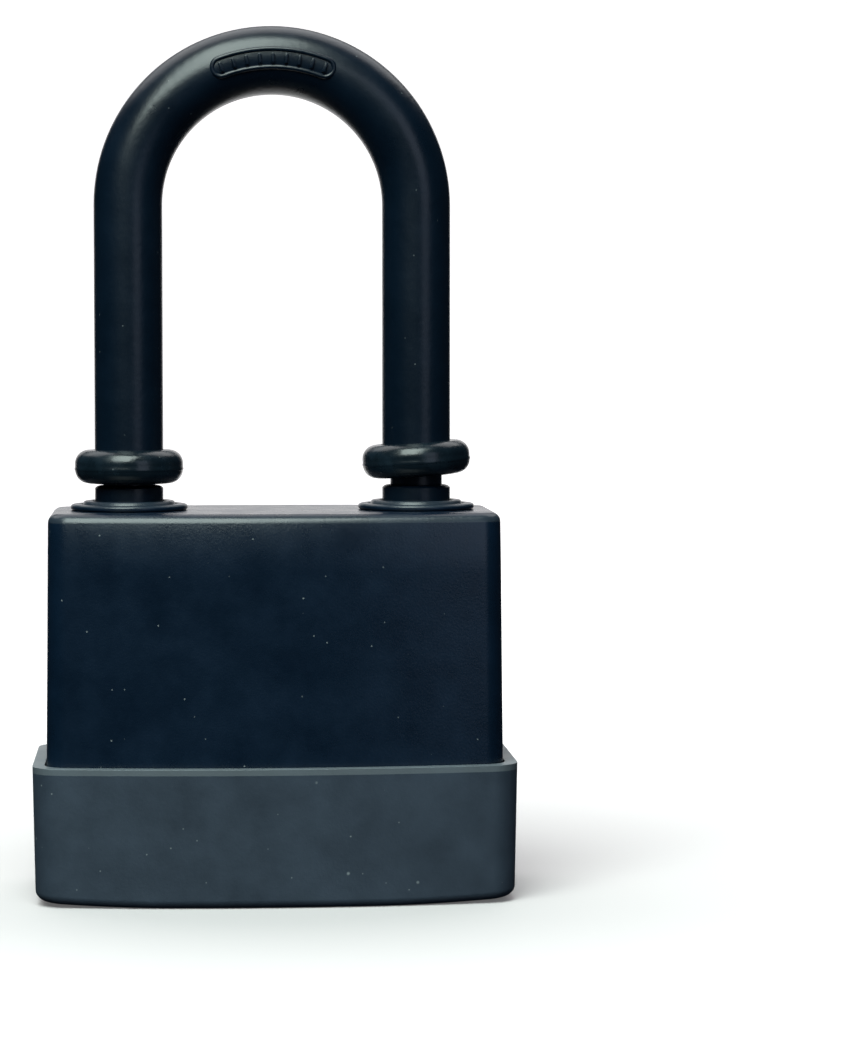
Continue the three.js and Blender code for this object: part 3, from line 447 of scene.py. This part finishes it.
def worked_metal(name, base, roughness, grain):
    """Bare metal: bright, with fine level tool marks and a faint stain."""
    material, tree, shader, place = new_material(name)
    drawn = add(tree, "ShaderNodeMapping", {"Vector": place, "Scale": (1.0, 1.0, 6.0)})
    mark_size = {"Vector": drawn, "Scale": 1 / grain, "Detail": 3.0, "Roughness": 0.6}
    lines = add(tree, "ShaderNodeTexNoise", mark_size)
    stain = add(tree, "ShaderNodeTexNoise", {"Vector": place, "Scale": 1 / (6 * MM), "Detail": 3.0})
    stained = add(tree, "ShaderNodeMapRange", {"Value": stain, "From Min": 0.35, "From Max": 0.65})
    tone = add(tree, "ShaderNodeMix", {0: stained, 6: shade(base, 0.72), 7: tuple(base)}, 2, data_type="RGBA")
    smoother, rougher = roughness - 0.08, roughness + 0.1
    satin = {"Value": lines, "From Min": 0.3, "From Max": 0.7, "To Min": smoother, "To Max": rougher}
    gloss = add(tree, "ShaderNodeMapRange", satin)
    relief = add(tree, "ShaderNodeBump", {"Height": lines, "Distance": 0.012 * MM})
    feed(tree, shader, {"Base Color": tone, "Roughness": gloss, "Normal": relief, "Metallic": 1.0})
    return material


# ---------- drawn outlines ----------
def start_point(name, place):
    """A single point to draw an outline from, selected in edit mode."""
    deselect()
    bpy.ops.mesh.primitive_plane_add(size=1 * MM, location=place)
    piece = added(name)
    bpy.ops.object.mode_set(mode="EDIT")
    bpy.ops.mesh.select_mode(type="VERT")
    bpy.ops.mesh.select_all(action="SELECT")
    bpy.ops.mesh.merge(type="CENTER")
    return piece


def swing(centre, angle, steps, axis=(0, 0, 1)):
    """Draws the selection round a centre, turning as a right hand would about the axis."""
    bpy.ops.mesh.spin(steps=steps, angle=-angle, center=centre, axis=axis)


def draw_on(offset):
    """Draws the selection along a straight line."""
    bpy.ops.mesh.extrude_region_move(TRANSFORM_OT_translate={"value": offset})


def draw_line(points):
    """Draws the selection through points of a section, given as (radius, height)."""
    for (radius, height), (next_radius, next_height) in zip(points, points[1:]):
        draw_on((next_radius - radius, 0, next_height - height))


def round_corner(centre, angle, steps=8):
    """Draws a section round a corner whose centre is given as (radius, height), outwards and up."""
    swing((centre[0], 0, centre[1]), -angle, steps, axis=(0, 1, 0))


def turn_round(piece):
    """Turns the drawn section right round the Z axis and closes it."""
    bpy.ops.mesh.select_all(action="SELECT")
    bpy.ops.mesh.spin(steps=TURN_STEPS, angle=2 * math.pi, center=(0, 0, 0), axis=(0, 0, 1))
    done(piece)
    smooth(piece, 60)


# ---------- body-shaped blocks ----------
def body_block(name, width, depth, low, high, corner):
    """A block whose front and back bow outwards and run smoothly into round upright corners."""
    half = width / 2 - corner
    bow = sizes().face_bow
    bow_radius = (half * half + bow * bow) / (2 * bow)
    slope = math.asin(half / (bow_radius - corner))
    bow_centre = bow_radius - depth / 2
    side = (bow_radius - corner) * math.cos(slope) - bow_centre
    start = (-bow_radius * math.sin(slope), bow_centre - bow_radius * math.cos(slope), low)
    body = start_point(name, start)
    for turn in (1, -1):
        swing((0, turn * bow_centre, low), 2 * slope, FACE_STEPS)
        swing((turn * half, -turn * side, low), math.pi / 2 - slope, UPRIGHT_STEPS)
        draw_on((0, turn * 2 * side, 0))
        swing((turn * half, turn * side, low), math.pi / 2 - slope, UPRIGHT_STEPS)
    bpy.ops.mesh.select_all(action="SELECT")
    bpy.ops.mesh.remove_doubles(threshold=0.01 * MM)
    bpy.ops.mesh.edge_face_add()
    draw_on((0, 0, high - low))
    return done(body)


def is_upright(ends):
    return abs(ends[0].x - ends[1].x) + abs(ends[0].y - ends[1].y) < TINY


def spread_foot(body, low, width, depth, growth):
    """Widens a block evenly at its foot by growth on each side."""
    pick(body, "VERT", lambda corner: abs(corner[0].z - low) < TINY)
    factors = (1 + 2 * growth / width, 1 + 2 * growth / depth, 1)
    bpy.ops.transform.resize(value=factors, center_override=(0, 0, low))
    return done(body)


def soften(body, height, offset, segments):
    """Rounds the edges that lie at one height."""
    pick(body, "EDGE", lambda ends: all(abs(p.z - height) < TINY for p in ends))
    bpy.ops.mesh.bevel(offset=offset, segments=segments, affect="EDGES", clamp_overlap=True)
    return done(body)


def jacket_sizes():
    """The jacket's width and depth at its top, and its growth from there to the cap's rim."""
    s = sizes()
    growth = s.jacket_draft * (JACKET_HIGH.z - CAP_HIGH.z) / (JACKET_HIGH.z - JACKET_LOW.z)
    width = CAP_HIGH.x - CAP_LOW.x - 2 * (s.ledge + growth)
    depth = CAP_HIGH.y - CAP_LOW.y - 2 * (s.ledge + growth)
    return width, depth, growth


class PADLOCK_OT_jacket(bpy.types.Operator):
    """Model the black jacket: a bowed, filleted shell with two leg holes."""
    bl_idname = "padlock.jacket"
    bl_label = "Jacket"

    def execute(self, context):
        s = sizes()
        width, depth, _ = jacket_sizes()
        low, high = JACKET_LOW.z, JACKET_HIGH.z
        jacket = body_block("jacket", width, depth, low, high, s.jacket_corner)
        spread_foot(jacket, low, width, depth, s.jacket_draft)
        self.crown_faces(jacket, high)
        soften(jacket, high, s.jacket_edge, 10)
        inner_width = width - 2 * s.jacket_wall
        inner_depth = depth - 2 * s.jacket_wall
        inner_corner = s.jacket_corner - 0.8 * MM
        roof = high - s.jacket_roof
        cavity = body_block("cavity", inner_width, inner_depth, low - 2 * MM, roof, inner_corner)
        combine(jacket, cavity)
        for side in (-1, 1):
            hole = cylinder("hole", s.bush_radius + 0.2 * MM, (side * LEG_X, 0, high), 8 * MM)
            combine(jacket, hole)
        smooth(jacket)
        # The last two numbers set the height and strength of the highlight painted as a pale band along the
        # jacket's top edge.
        material = moulded_plastic(
            "Moulded ABS jacket", colours().jacket, 0.28, 0.35 * MM, 0.35, JACKET_HIGH.z - 0.8 * MM, 0.05
        )
        finish_piece(jacket, material, "body", "jacket_plastic", "upper_shell")
        return {"FINISHED"}

    def crown_faces(self, jacket, high):
        """Curves the front and back in towards the top, ever more steeply."""
        s = sizes()
        start = high - s.crown_reach
        clear_of_edge = 1.6 * s.jacket_edge
        span = s.crown_reach - clear_of_edge
        levels = [start + span * index / CROWN_LEVELS for index in range(CROWN_LEVELS + 1)]
        for level in levels:
            pick(jacket, "VERT", lambda corner: True)
            bpy.ops.mesh.bisect(plane_co=(0, 0, level), plane_no=(0, 0, 1))
            bpy.ops.object.mode_set(mode="OBJECT")
        depth = CAP_HIGH.y - CAP_LOW.y
        for level in (*levels[1:], high):
            share = (level - start) / s.crown_reach
            factor = 1 - 2 * s.crown_depth * share ** 2 / depth
            pick(jacket, "VERT", lambda corner: abs(corner[0].z - level) < TINY)
            bpy.ops.transform.resize(value=(1, factor, 1), center_override=(0, 0, level))
            bpy.ops.object.mode_set(mode="OBJECT")


class PADLOCK_OT_base_cap(bpy.types.Operator):
    """Model the grey base cap with its rim, raised ends, keyhole window and cover recess."""
    bl_idname = "padlock.base_cap"
    bl_label = "Base cap"

    def execute(self, context):
        s = sizes()
        width = CAP_HIGH.x - CAP_LOW.x
        depth = CAP_HIGH.y - CAP_LOW.y
        high = CAP_HIGH.z
        cap = body_block("cap", width, depth, 0, high, s.cap_corner)
        spread_foot(cap, 0, width, depth, -s.cap_draft)
        self.raise_ends(cap, width)
        soften(cap, high, s.rim_edge, 6)
        self.round_foot(cap)
        combine(cap, self.seat(high))
        window = cylinder("window", s.window_radius, (0, 0, 0), 4 * s.cap_floor)
        combine(cap, window)
        room = 0.35 * MM
        low_corner = (COVER_LOW.x - room, COVER_LOW.y - room, -1 * MM)
        high_corner = (COVER_HIGH.x + room, COVER_HIGH.y + room, s.recess_depth)
        combine(cap, block("recess", low_corner, high_corner))
        pin_z = (HINGE_LOW.z + HINGE_HIGH.z) / 2
        pin_y = (HINGE_LOW.y + HINGE_HIGH.y) / 2
        pin_length = HINGE_HIGH.x - HINGE_LOW.x + 1 * MM
        combine(cap, cylinder("pin_hole", 0.6 * MM, (0, pin_y, pin_z), pin_length, "X", 32))
        smooth(cap)
        # The last two numbers set the height and strength of the highlight painted as a pale band along the cap's
        # rim.
        material = moulded_plastic(
            "Moulded nylon cap", colours().cap, 0.44, 0.5 * MM, 0.25, CAP_HIGH.z - 0.4 * MM, 0.22
        )
        finish_piece(cap, material, "body", "cap_plastic", "base_cap")
        return {"FINISHED"}

    def raise_ends(self, cap, width):
        """Lifts the underside's ends along a gentle curve."""
        s = sizes()
        end = width / 2 - s.cap_draft
        pick(cap, "VERT", lambda corner: corner[0].z < TINY and abs(corner[0].x) > end - TINY)
        bpy.ops.transform.translate(
            value=(0, 0, s.cap_lift),
            use_proportional_edit=True,
            proportional_edit_falloff="SHARP",
            proportional_size=end - s.cap_land,
        )
        done(cap)

    def round_foot(self, cap):
        """Rounds the edge all round the underside."""
        def around_foot(ends):
            low = all(p.z < 2 * MM for p in ends)
            return low and not is_upright(ends)

        pick(cap, "EDGE", around_foot)
        bpy.ops.mesh.bevel(offset=sizes().foot_edge, segments=8, affect="EDGES", clamp_overlap=True)
        done(cap)

    def seat(self, high):
        """The space that the jacket's foot stands in."""
        s = sizes()
        width, depth, growth = jacket_sizes()
        wide = width + 2 * (growth + s.seam)
        deep = depth + 2 * (growth + s.seam)
        return body_block("seat", wide, deep, s.cap_floor, high + 3 * MM, s.jacket_corner + s.seam)


# ---------- shackle ----------
def start_ring(name, radius, centre, vertices=64):
    """A ring of edges to grow a tube from, in edit mode and selected."""
    deselect()
    bpy.ops.mesh.primitive_circle_add(vertices=vertices, radius=radius, location=centre)
    piece = added(name)
    bpy.ops.object.mode_set(mode="EDIT")
    bpy.ops.mesh.select_mode(type="VERT")
    bpy.ops.mesh.select_all(action="SELECT")
    return piece


def grow(rise, widen, centre):
    """Extrudes the selected ring upwards and then scales it."""
    bpy.ops.mesh.extrude_region_move(TRANSFORM_OT_translate={"value": (0, 0, rise)})
    bpy.ops.transform.resize(value=(widen, widen, 1), center_override=centre)


def grow_along(x, stations):
    """Grows the selected ring through a list of (height, radius) stations."""
    for (z, radius), (next_z, next_radius) in zip(stations, stations[1:]):
        grow(next_z - z, next_radius / radius, (x, 0, next_z))


def cap_open_ends(piece):
    bpy.ops.mesh.select_all(action="DESELECT")
    bpy.ops.mesh.select_mode(type="EDGE")
    bpy.ops.mesh.select_non_manifold(extend=False)
    bpy.ops.mesh.edge_face_add()
    return done(piece)


class PADLOCK_OT_shackle(bpy.types.Operator):
    """Model the shackle: a bent rod with seal grooves, ball notches and a blank badge on its crown."""
    bl_idname = "padlock.shackle"
    bl_label = "Shackle"

    def execute(self, context):
        rod = self.bend_rod()
        self.notch(rod)
        combine(rod, self.badge(), "UNION")
        smooth(rod, 40)
        finish_piece(rod, coated_steel(), "shackle", "shackle_coating", "shackle")
        return {"FINISHED"}

    def leg_stations(self, end):
        """Height and radius along one leg, from its tip to the bend."""
        s = sizes()
        low = BUSH_HIGH.z + s.neck_lift
        high = low + s.neck_length
        step = 0.35 * MM
        full = ROD_RADIUS
        return [
            (end, full - s.tip_chamfer),
            (end + 0.55 * s.tip_chamfer, full - 0.3 * s.tip_chamfer),
            (end + 1.2 * s.tip_chamfer, full),
            (low - step, full),
            (low - 0.1 * MM, full - 0.3 * MM),
            (low, full - 0.6 * MM),
            (low + 0.1 * MM, s.neck_radius),
            (high - 0.1 * MM, s.neck_radius),
            (high, full - 0.6 * MM),
            (high + 0.1 * MM, full - 0.3 * MM),
            (high + step, full),
            (CROWN_Z, full),
        ]

    def bend_rod(self):
        """Up the toe leg, round the crown and down the heel leg."""
        toe_end = self.toe_end()
        up = self.leg_stations(toe_end)
        down = self.leg_stations(ROD_LOW.z)[::-1]
        rod = start_ring("shackle_rod", up[0][1], (LEG_X, 0, toe_end))
        grow_along(LEG_X, up)
        bpy.ops.mesh.spin(steps=BEND_STEPS, angle=math.pi, center=(0, 0, CROWN_Z), axis=(0, 1, 0))
        grow_along(-LEG_X, down)
        return cap_open_ends(rod)

    def toe_end(self):
        """The toe leg's lowest point, which the lift brings just above its bush."""
        return BUSH_HIGH.z + 0.4 * MM - LIFT

    def notch(self, rod):
        """Cuts the balls' seats, the heel's long relief and the groove that holds it when raised."""
        s = sizes()
        ball = (TOE_BALL_HIGH.x - TOE_BALL_LOW.x) / 2
        level = (TOE_BALL_HIGH.z + TOE_BALL_LOW.z) / 2
        cutter = ball + s.notch_clearance
        locked = TOE_BALL_HIGH.x - ball + JOINTS["toe_ball_travel"]["range_m"][1]
        free = -(HEEL_BALL_LOW.x + ball)
        for x in (locked, -locked):
            deselect()
            bpy.ops.mesh.primitive_uv_sphere_add(
                segments=64, ring_count=32, radius=cutter, location=(x, 0, level),
            )
            combine(rod, added("seat"))
        combine(rod, cylinder("relief", cutter, (-free, 0, level - LIFT / 2), LIFT))
        deselect()
        bpy.ops.mesh.primitive_torus_add(
            major_radius=LEG_X - locked, minor_radius=cutter, location=(-LEG_X, 0, level - LIFT),
            major_segments=96, minor_segments=48,
        )
        combine(rod, added("groove"))

    def badge(self):
        """A raised stadium border with plain bars, on the front of the crown."""
        s = sizes()
        half_height = s.badge_height / 2
        reach = (s.badge_length / 2 - half_height) / LEG_X
        front = -math.sqrt(ROD_RADIUS ** 2 - half_height ** 2)
        deselect()
        bpy.ops.mesh.primitive_circle_add(
            vertices=16, radius=s.badge_bead, rotation=(0, math.pi / 2, 0),
            location=(0, front, CROWN_Z + LEG_X + half_height),
        )
        border = added("badge")
        bpy.ops.object.mode_set(mode="EDIT")
        bpy.ops.mesh.select_all(action="SELECT")
        crown = (0, front, CROWN_Z)
        out, up = LEG_X * math.sin(reach), CROWN_Z + LEG_X * math.cos(reach)
        ends = [(out, front, up), (-out, front, up)]
        for centre, angle, steps in (
            (crown, -reach, BORDER_STEPS),
            (ends[0], -math.pi, BORDER_STEPS),
            (crown, 2 * reach, 2 * BORDER_STEPS),
            (ends[1], -math.pi, BORDER_STEPS),
            (crown, -reach, BORDER_STEPS),
        ):
            bpy.ops.mesh.spin(steps=steps, angle=angle, center=centre, axis=(0, 1, 0))
        done(border)
        return join(border, *self.bars(reach, front))

    def bars(self, reach, front):
        """Plain bars side by side within the border."""
        s = sizes()
        corner = Vector((s.badge_bar_width, s.badge_bar_depth, s.badge_bar_length)) / 2
        first = block("bar", -corner, corner)
        modify(first, "BEVEL", width=0.14 * MM, segments=3)
        bars = [twin(first, "bar") for _ in range(s.badge_bars - 1)] + [first]
        for index, bar in enumerate(bars):
            turn = reach * (2 * index / (s.badge_bars - 1) - 1)
            shift_piece(bar, (LEG_X * math.sin(turn), front, CROWN_Z + LEG_X * math.cos(turn)), turn)
        return bars


# ---------- turned pieces ----------
class PADLOCK_OT_leg_seals(bpy.types.Operator):
    """Model the two rubber leg seals, the right one pushed up and tilted."""
    bl_idname = "padlock.leg_seals"
    bl_label = "Leg seals"

    def execute(self, context):
        rubber = moulded_rubber()
        height = LEFT_SEAL_HIGH.z - LEFT_SEAL_LOW.z
        radius = (LEFT_SEAL_HIGH.x - LEFT_SEAL_LOW.x) / 2
        tall = RIGHT_SEAL_HIGH.z - RIGHT_SEAL_LOW.z
        tilt = (tall - height) / (2 * radius - sizes().seal_corner)
        left = self.seal("seal_left", radius, height)
        right = twin(left, "seal_right")
        shift_piece(left, (LEFT_SEAL_LOW + LEFT_SEAL_HIGH) / 2)
        shift_piece(right, (RIGHT_SEAL_LOW + RIGHT_SEAL_HIGH) / 2, -tilt)
        finish_piece(left, rubber, "shackle", "seal_rubber", "left_seal")
        finish_piece(right, rubber, "shackle", "seal_rubber", "right_seal")
        return {"FINISHED"}

    def seal(self, name, radius, height):
        s = sizes()
        half = height / 2
        corner = s.seal_corner
        low, high = corner - half, half - corner
        ridge = -0.07 * height
        wide, proud = s.parting_width / 2, s.parting_height
        seal = start_point(name, (s.seal_bore, 0, -half))
        draw_line([(s.seal_bore, -half), (radius - corner, -half)])
        round_corner((radius - corner, low), math.pi / 2, SEAL_CORNER_STEPS)
        draw_line([(radius, low), (radius, ridge - wide), (radius + proud, ridge)])
        draw_line([(radius + proud, ridge), (radius, ridge + wide), (radius, high)])
        round_corner((radius - corner, high), math.pi / 2, SEAL_CORNER_STEPS)
        draw_line([(radius - corner, half), (s.seal_bore, half), (s.seal_bore, -half)])
        turn_round(seal)
        return seal


class PADLOCK_OT_bushes(bpy.types.Operator):
    """Model the rounded, flanged bushes that the legs pass through."""
    bl_idname = "padlock.bushes"
    bl_label = "Leg bushes"

    def execute(self, context):
        # The last two numbers set the height and strength of the highlight painted as a pale band along the
        # bushes' tops.
        plastic = moulded_plastic(
            "Moulded acetal bushes", colours().jacket, 0.32, 0.5 * MM, 0.4, BUSH_HIGH.z - 0.3 * MM, 0.04
        )
        left = self.bush("bush_left")
        right = twin(left, "bush_right")
        shift_piece(left, (-LEG_X, 0, 0))
        shift_piece(right, (LEG_X, 0, 0))
        finish_piece(left, plastic, "body", "jacket_plastic", "left_bush")
        finish_piece(right, plastic, "body", "jacket_plastic", "right_bush")
        return {"FINISHED"}

    def bush(self, name):
        s = sizes()
        seat = JACKET_HIGH.z + 0.02 * MM
        top = BUSH_HIGH.z
        rim = (BUSH_HIGH.x - BUSH_LOW.x) / 2
        edge = 0.45 * MM
        rim_top = seat + 2 * edge
        collar = s.bush_radius
        groove = 0.35 * MM
        lip = 0.5 * MM
        bush = start_point(name, (s.bush_bore, 0, BUSH_LOW.z))
        draw_line([(s.bush_bore, BUSH_LOW.z), (collar, BUSH_LOW.z), (collar, seat), (rim - edge, seat)])
        round_corner((rim - edge, seat + edge), math.pi, RIM_STEPS)
        draw_line([
            (rim - edge, rim_top),
            (collar + 2.2 * groove, rim_top),
            (collar + 1.6 * groove, rim_top - groove),
            (collar + groove, rim_top - groove),
            (collar + 0.3 * groove, top - 0.3 * groove),
            (collar - 0.3 * groove, top),
            (s.bush_bore + lip, top),
        ])
        round_corner((s.bush_bore + lip, top - lip), math.pi / 2)
        draw_line([(s.bush_bore, top - lip), (s.bush_bore, BUSH_LOW.z)])
        turn_round(bush)
        return bush


# ---------- keyhole cover ----------
class PADLOCK_OT_keyhole_cover(bpy.types.Operator):
    """Model the hinged cover under the lock, with its sealing boss and nail grip."""
    bl_idname = "padlock.keyhole_cover"
    bl_label = "Keyhole cover"

    def execute(self, context):
        s = sizes()
        pin_y = (HINGE_LOW.y + HINGE_HIGH.y) / 2
        pin_z = (HINGE_LOW.z + HINGE_HIGH.z) / 2
        knuckle = COVER_HIGH.y - pin_y
        top = pin_z + knuckle
        leaf = block("cover", COVER_LOW, (COVER_HIGH.x, pin_y, top))
        pick(leaf, "EDGE", lambda ends: all(p.y < COVER_LOW.y + TINY for p in ends) and is_upright(ends))
        bpy.ops.mesh.bevel(offset=1.5 * MM, segments=8, affect="EDGES")
        done(leaf)
        pick(leaf, "EDGE", lambda ends: all(p.z < COVER_LOW.z + TINY and p.y < pin_y - TINY for p in ends))
        bpy.ops.mesh.bevel(offset=0.35 * MM, segments=4, affect="EDGES")
        done(leaf)
        width = COVER_HIGH.x - COVER_LOW.x
        combine(leaf, cylinder("knuckle", knuckle, (0, pin_y, pin_z), width, "X"), "UNION")
        boss_radius = s.window_radius - 1.5 * MM
        boss_top = COVER_HIGH.z
        boss = cylinder("boss", boss_radius, (0, 0, (pin_z + boss_top) / 2), boss_top - pin_z)
        soften(boss, boss_top, 0.4 * MM, 4)
        combine(leaf, boss, "UNION")
        for step in range(3):
            y = COVER_LOW.y + (1.6 + 1.1 * step) * MM
            combine(leaf, cylinder("grip", 0.35 * MM, (0, y, COVER_LOW.z), 9 * MM, "X", 24))
        combine(leaf, cylinder("pin_hole", 0.7 * MM, (0, pin_y, pin_z), 2 * width, "X", 32))
        smooth(leaf)
        # The last two numbers set the height and strength of the highlight painted as a pale band along the
        # cover's foot.
        material = moulded_plastic(
            "Moulded ABS cover", colours().jacket, 0.42, 0.35 * MM, 0.5, COVER_LOW.z + 0.3 * MM, 0.04
        )
        finish_piece(leaf, material, "cover", "jacket_plastic", "keyhole_cover")
        return {"FINISHED"}


# ---------- inside ----------
class PADLOCK_OT_inner_metal(bpy.types.Operator):
    """Finish the steel and brass pieces of the lock's inside."""
    bl_idname = "padlock.inner_metal"
    bl_label = "Inner metal"

    def execute(self, context):
        c = colours()
        finishes = {
            "plate_steel": worked_metal("Stamped mild steel plate", c.plate, 0.42, 0.5 * MM),
            "bright_steel": worked_metal("Turned hardened steel", c.steel, 0.28, 0.3 * MM),
            "cylinder_brass": worked_metal("Turned brass", c.brass, 0.3, 0.3 * MM),
            "seal_rubber": bpy.data.materials["Moulded black rubber"],
        }
        for part in frame["record"]["subparts"]:
            node = NODES[part["node"]]
            if node.hide_render or part["material_slot"] not in finishes:
                continue
            node.data.materials.clear()
            node.data.materials.append(finishes[part["material_slot"]])
        return {"FINISHED"}


# ---------- stage ----------
class PADLOCK_OT_stage(bpy.types.Operator):
    """Set the white ground, the soft lights and the camera."""
    bl_idname = "padlock.stage"
    bl_label = "Stage"

    def execute(self, context):
        self.ground()
        self.lights()
        self.camera()
        return {"FINISHED"}

    def ground(self):
        """A white sheet that the lock stands on, curved up all round; only its back shows in the gloss."""
        material = self.paper()
        back_start, back_sweep = math.radians(66), math.radians(48)
        back = self.sheet("ground_back", back_start, back_sweep)
        front = self.sheet("ground_front", back_start + back_sweep, 2 * math.pi - back_sweep)
        front.visible_glossy = False
        front.visible_diffuse = False
        for piece in (back, front):
            piece.data.materials.append(material)

    def sheet(self, name, start, sweep):
        """A wedge of the sheet from one bearing through another, with its tip in front of the lock."""
        s = sizes()
        flat = s.ground_radius - s.ground_curve
        out = Vector((math.cos(start), math.sin(start), 0))
        tip = Vector((0, FLOOR_JOINT, 0))
        sheet = start_point(name, tip)
        draw_on(out * flat)
        hub = tip + out * flat + Vector((0, 0, s.ground_curve))
        swing(hub, -math.pi / 2, CURVE_STEPS, axis=(-out.y, out.x, 0))
        draw_on((0, 0, s.ground_curve))
        bpy.ops.mesh.select_all(action="SELECT")
        swing(tip, sweep, SHEET_STEPS)
        done(sheet)
        smooth(sheet, 60)
        return sheet

    def paper(self):
        """Matte white paper that glows by itself, a painted light: weakest near the lock, so that it stays white
        to its edges.
        """
        material, tree, shader, place = new_material("Matte white paper")
        pale = tuple(colours().ground)
        cloud = add(tree, "ShaderNodeTexNoise", {"Vector": place, "Scale": 1 / (200 * MM)})
        tone = add(tree, "ShaderNodeMix", {0: cloud, 6: shade(pale, 0.97), 7: pale}, 2, data_type="RGBA")
        # Painted light: the paper glows at 0.1 near the lock, where the lamps' shadows fall, rising to 0.95 from
        # 0.3 m out.
        away = add(tree, "ShaderNodeVectorMath", {0: place}, "Value", operation="LENGTH")
        rises = {"Value": away, "From Min": 0.03, "From Max": 0.3, "To Min": 0.1, "To Max": 0.95}
        glow = add(tree, "ShaderNodeMapRange", rises)
        feed(tree, shader, {"Base Color": tone, "Roughness": 0.9, "Emission Strength": glow})
        shader.inputs["Emission Color"].default_value = (1.0, 1.0, 1.0, 1.0)
        return material

    def softbox(self, name, place, target, size, glow, tint=(1.0, 1.0, 1.0, 1.0)):
        """A rectangular light whose face glows evenly, whatever its size."""
        data = bpy.data.lights.new(name, "AREA")
        data.shape = "RECTANGLE"
        data.size, data.size_y = size
        data.energy = glow * math.pi * size[0] * size[1]
        data.color = tint[:3]
        lamp = bpy.data.objects.new(name, data)
        lamp.location = place
        lamp.rotation_euler = (Vector(target) - Vector(place)).to_track_quat("-Z", "Y").to_euler()
        bpy.context.scene.collection.objects.link(lamp)

    def lights(self):
        c = colours()
        world = bpy.data.worlds.new("Studio")
        world.use_nodes = True
        back = world.node_tree.nodes["Background"]
        back.inputs["Color"].default_value = tuple(c.room)
        back.inputs["Strength"].default_value = 0.04
        bpy.context.scene.world = world
        lock = (0, 0, 0.06)
        self.softbox("key", (-0.15, -0.43, 0.66), lock, (0.5, 0.72), 9.0, tuple(c.lamp))
        self.softbox("ceiling", (0, 0.75, 1.15), (0, 0.35, 0), (2.2, 1.1), 1.6)
        self.softbox("side strip", (0.45, -0.80, 0.32), lock, (0.4, 0.6), 0.85, tuple(c.strip))
        bpy.context.scene.view_settings.view_transform = "Standard"

    def camera(self):
        data = bpy.data.cameras.new("camera")
        data.lens = 116.5
        data.sensor_width = 36
        data.clip_start = 0.01
        camera = bpy.data.objects.new("camera", data)
        camera.location = (-0.0142, -0.500, 0.0817)
        target = Vector((0.0222, 0, 0.0539))
        camera.rotation_euler = (target - camera.location).to_track_quat("-Z", "Y").to_euler()
        bpy.context.scene.collection.objects.link(camera)
        bpy.context.scene.camera = camera


# ---------- add-on ----------
PIECES = (
    PADLOCK_OT_jacket, PADLOCK_OT_base_cap, PADLOCK_OT_bushes, PADLOCK_OT_shackle,
    PADLOCK_OT_leg_seals, PADLOCK_OT_keyhole_cover, PADLOCK_OT_inner_metal, PADLOCK_OT_stage,
)


class PADLOCK_PT_panel(bpy.types.Panel):
    """The padlock's pieces, in the order that they are made."""
    bl_idname = "PADLOCK_PT_panel"
    bl_label = "Weatherproof Padlock"
    bl_space_type = "VIEW_3D"
    bl_region_type = "UI"
    bl_category = "Padlock"

    def draw(self, context):
        for piece in PIECES:
            self.layout.operator(piece.bl_idname)


CLASSES = (PadlockSizes, PadlockColours, *PIECES, PADLOCK_PT_panel)


def register():
    for kind in CLASSES:
        bpy.utils.register_class(kind)
    bpy.types.Scene.padlock_sizes = PointerProperty(type=PadlockSizes)
    bpy.types.Scene.padlock_colours = PointerProperty(type=PadlockColours)


def unregister():
    del bpy.types.Scene.padlock_colours
    del bpy.types.Scene.padlock_sizes
    for kind in reversed(CLASSES):
        bpy.utils.unregister_class(kind)


def main():
    register()
    for piece in PIECES:
        group, name = piece.bl_idname.split(".")
        getattr(getattr(bpy.ops, group), name)()


if __name__ == "__main__":
    main()
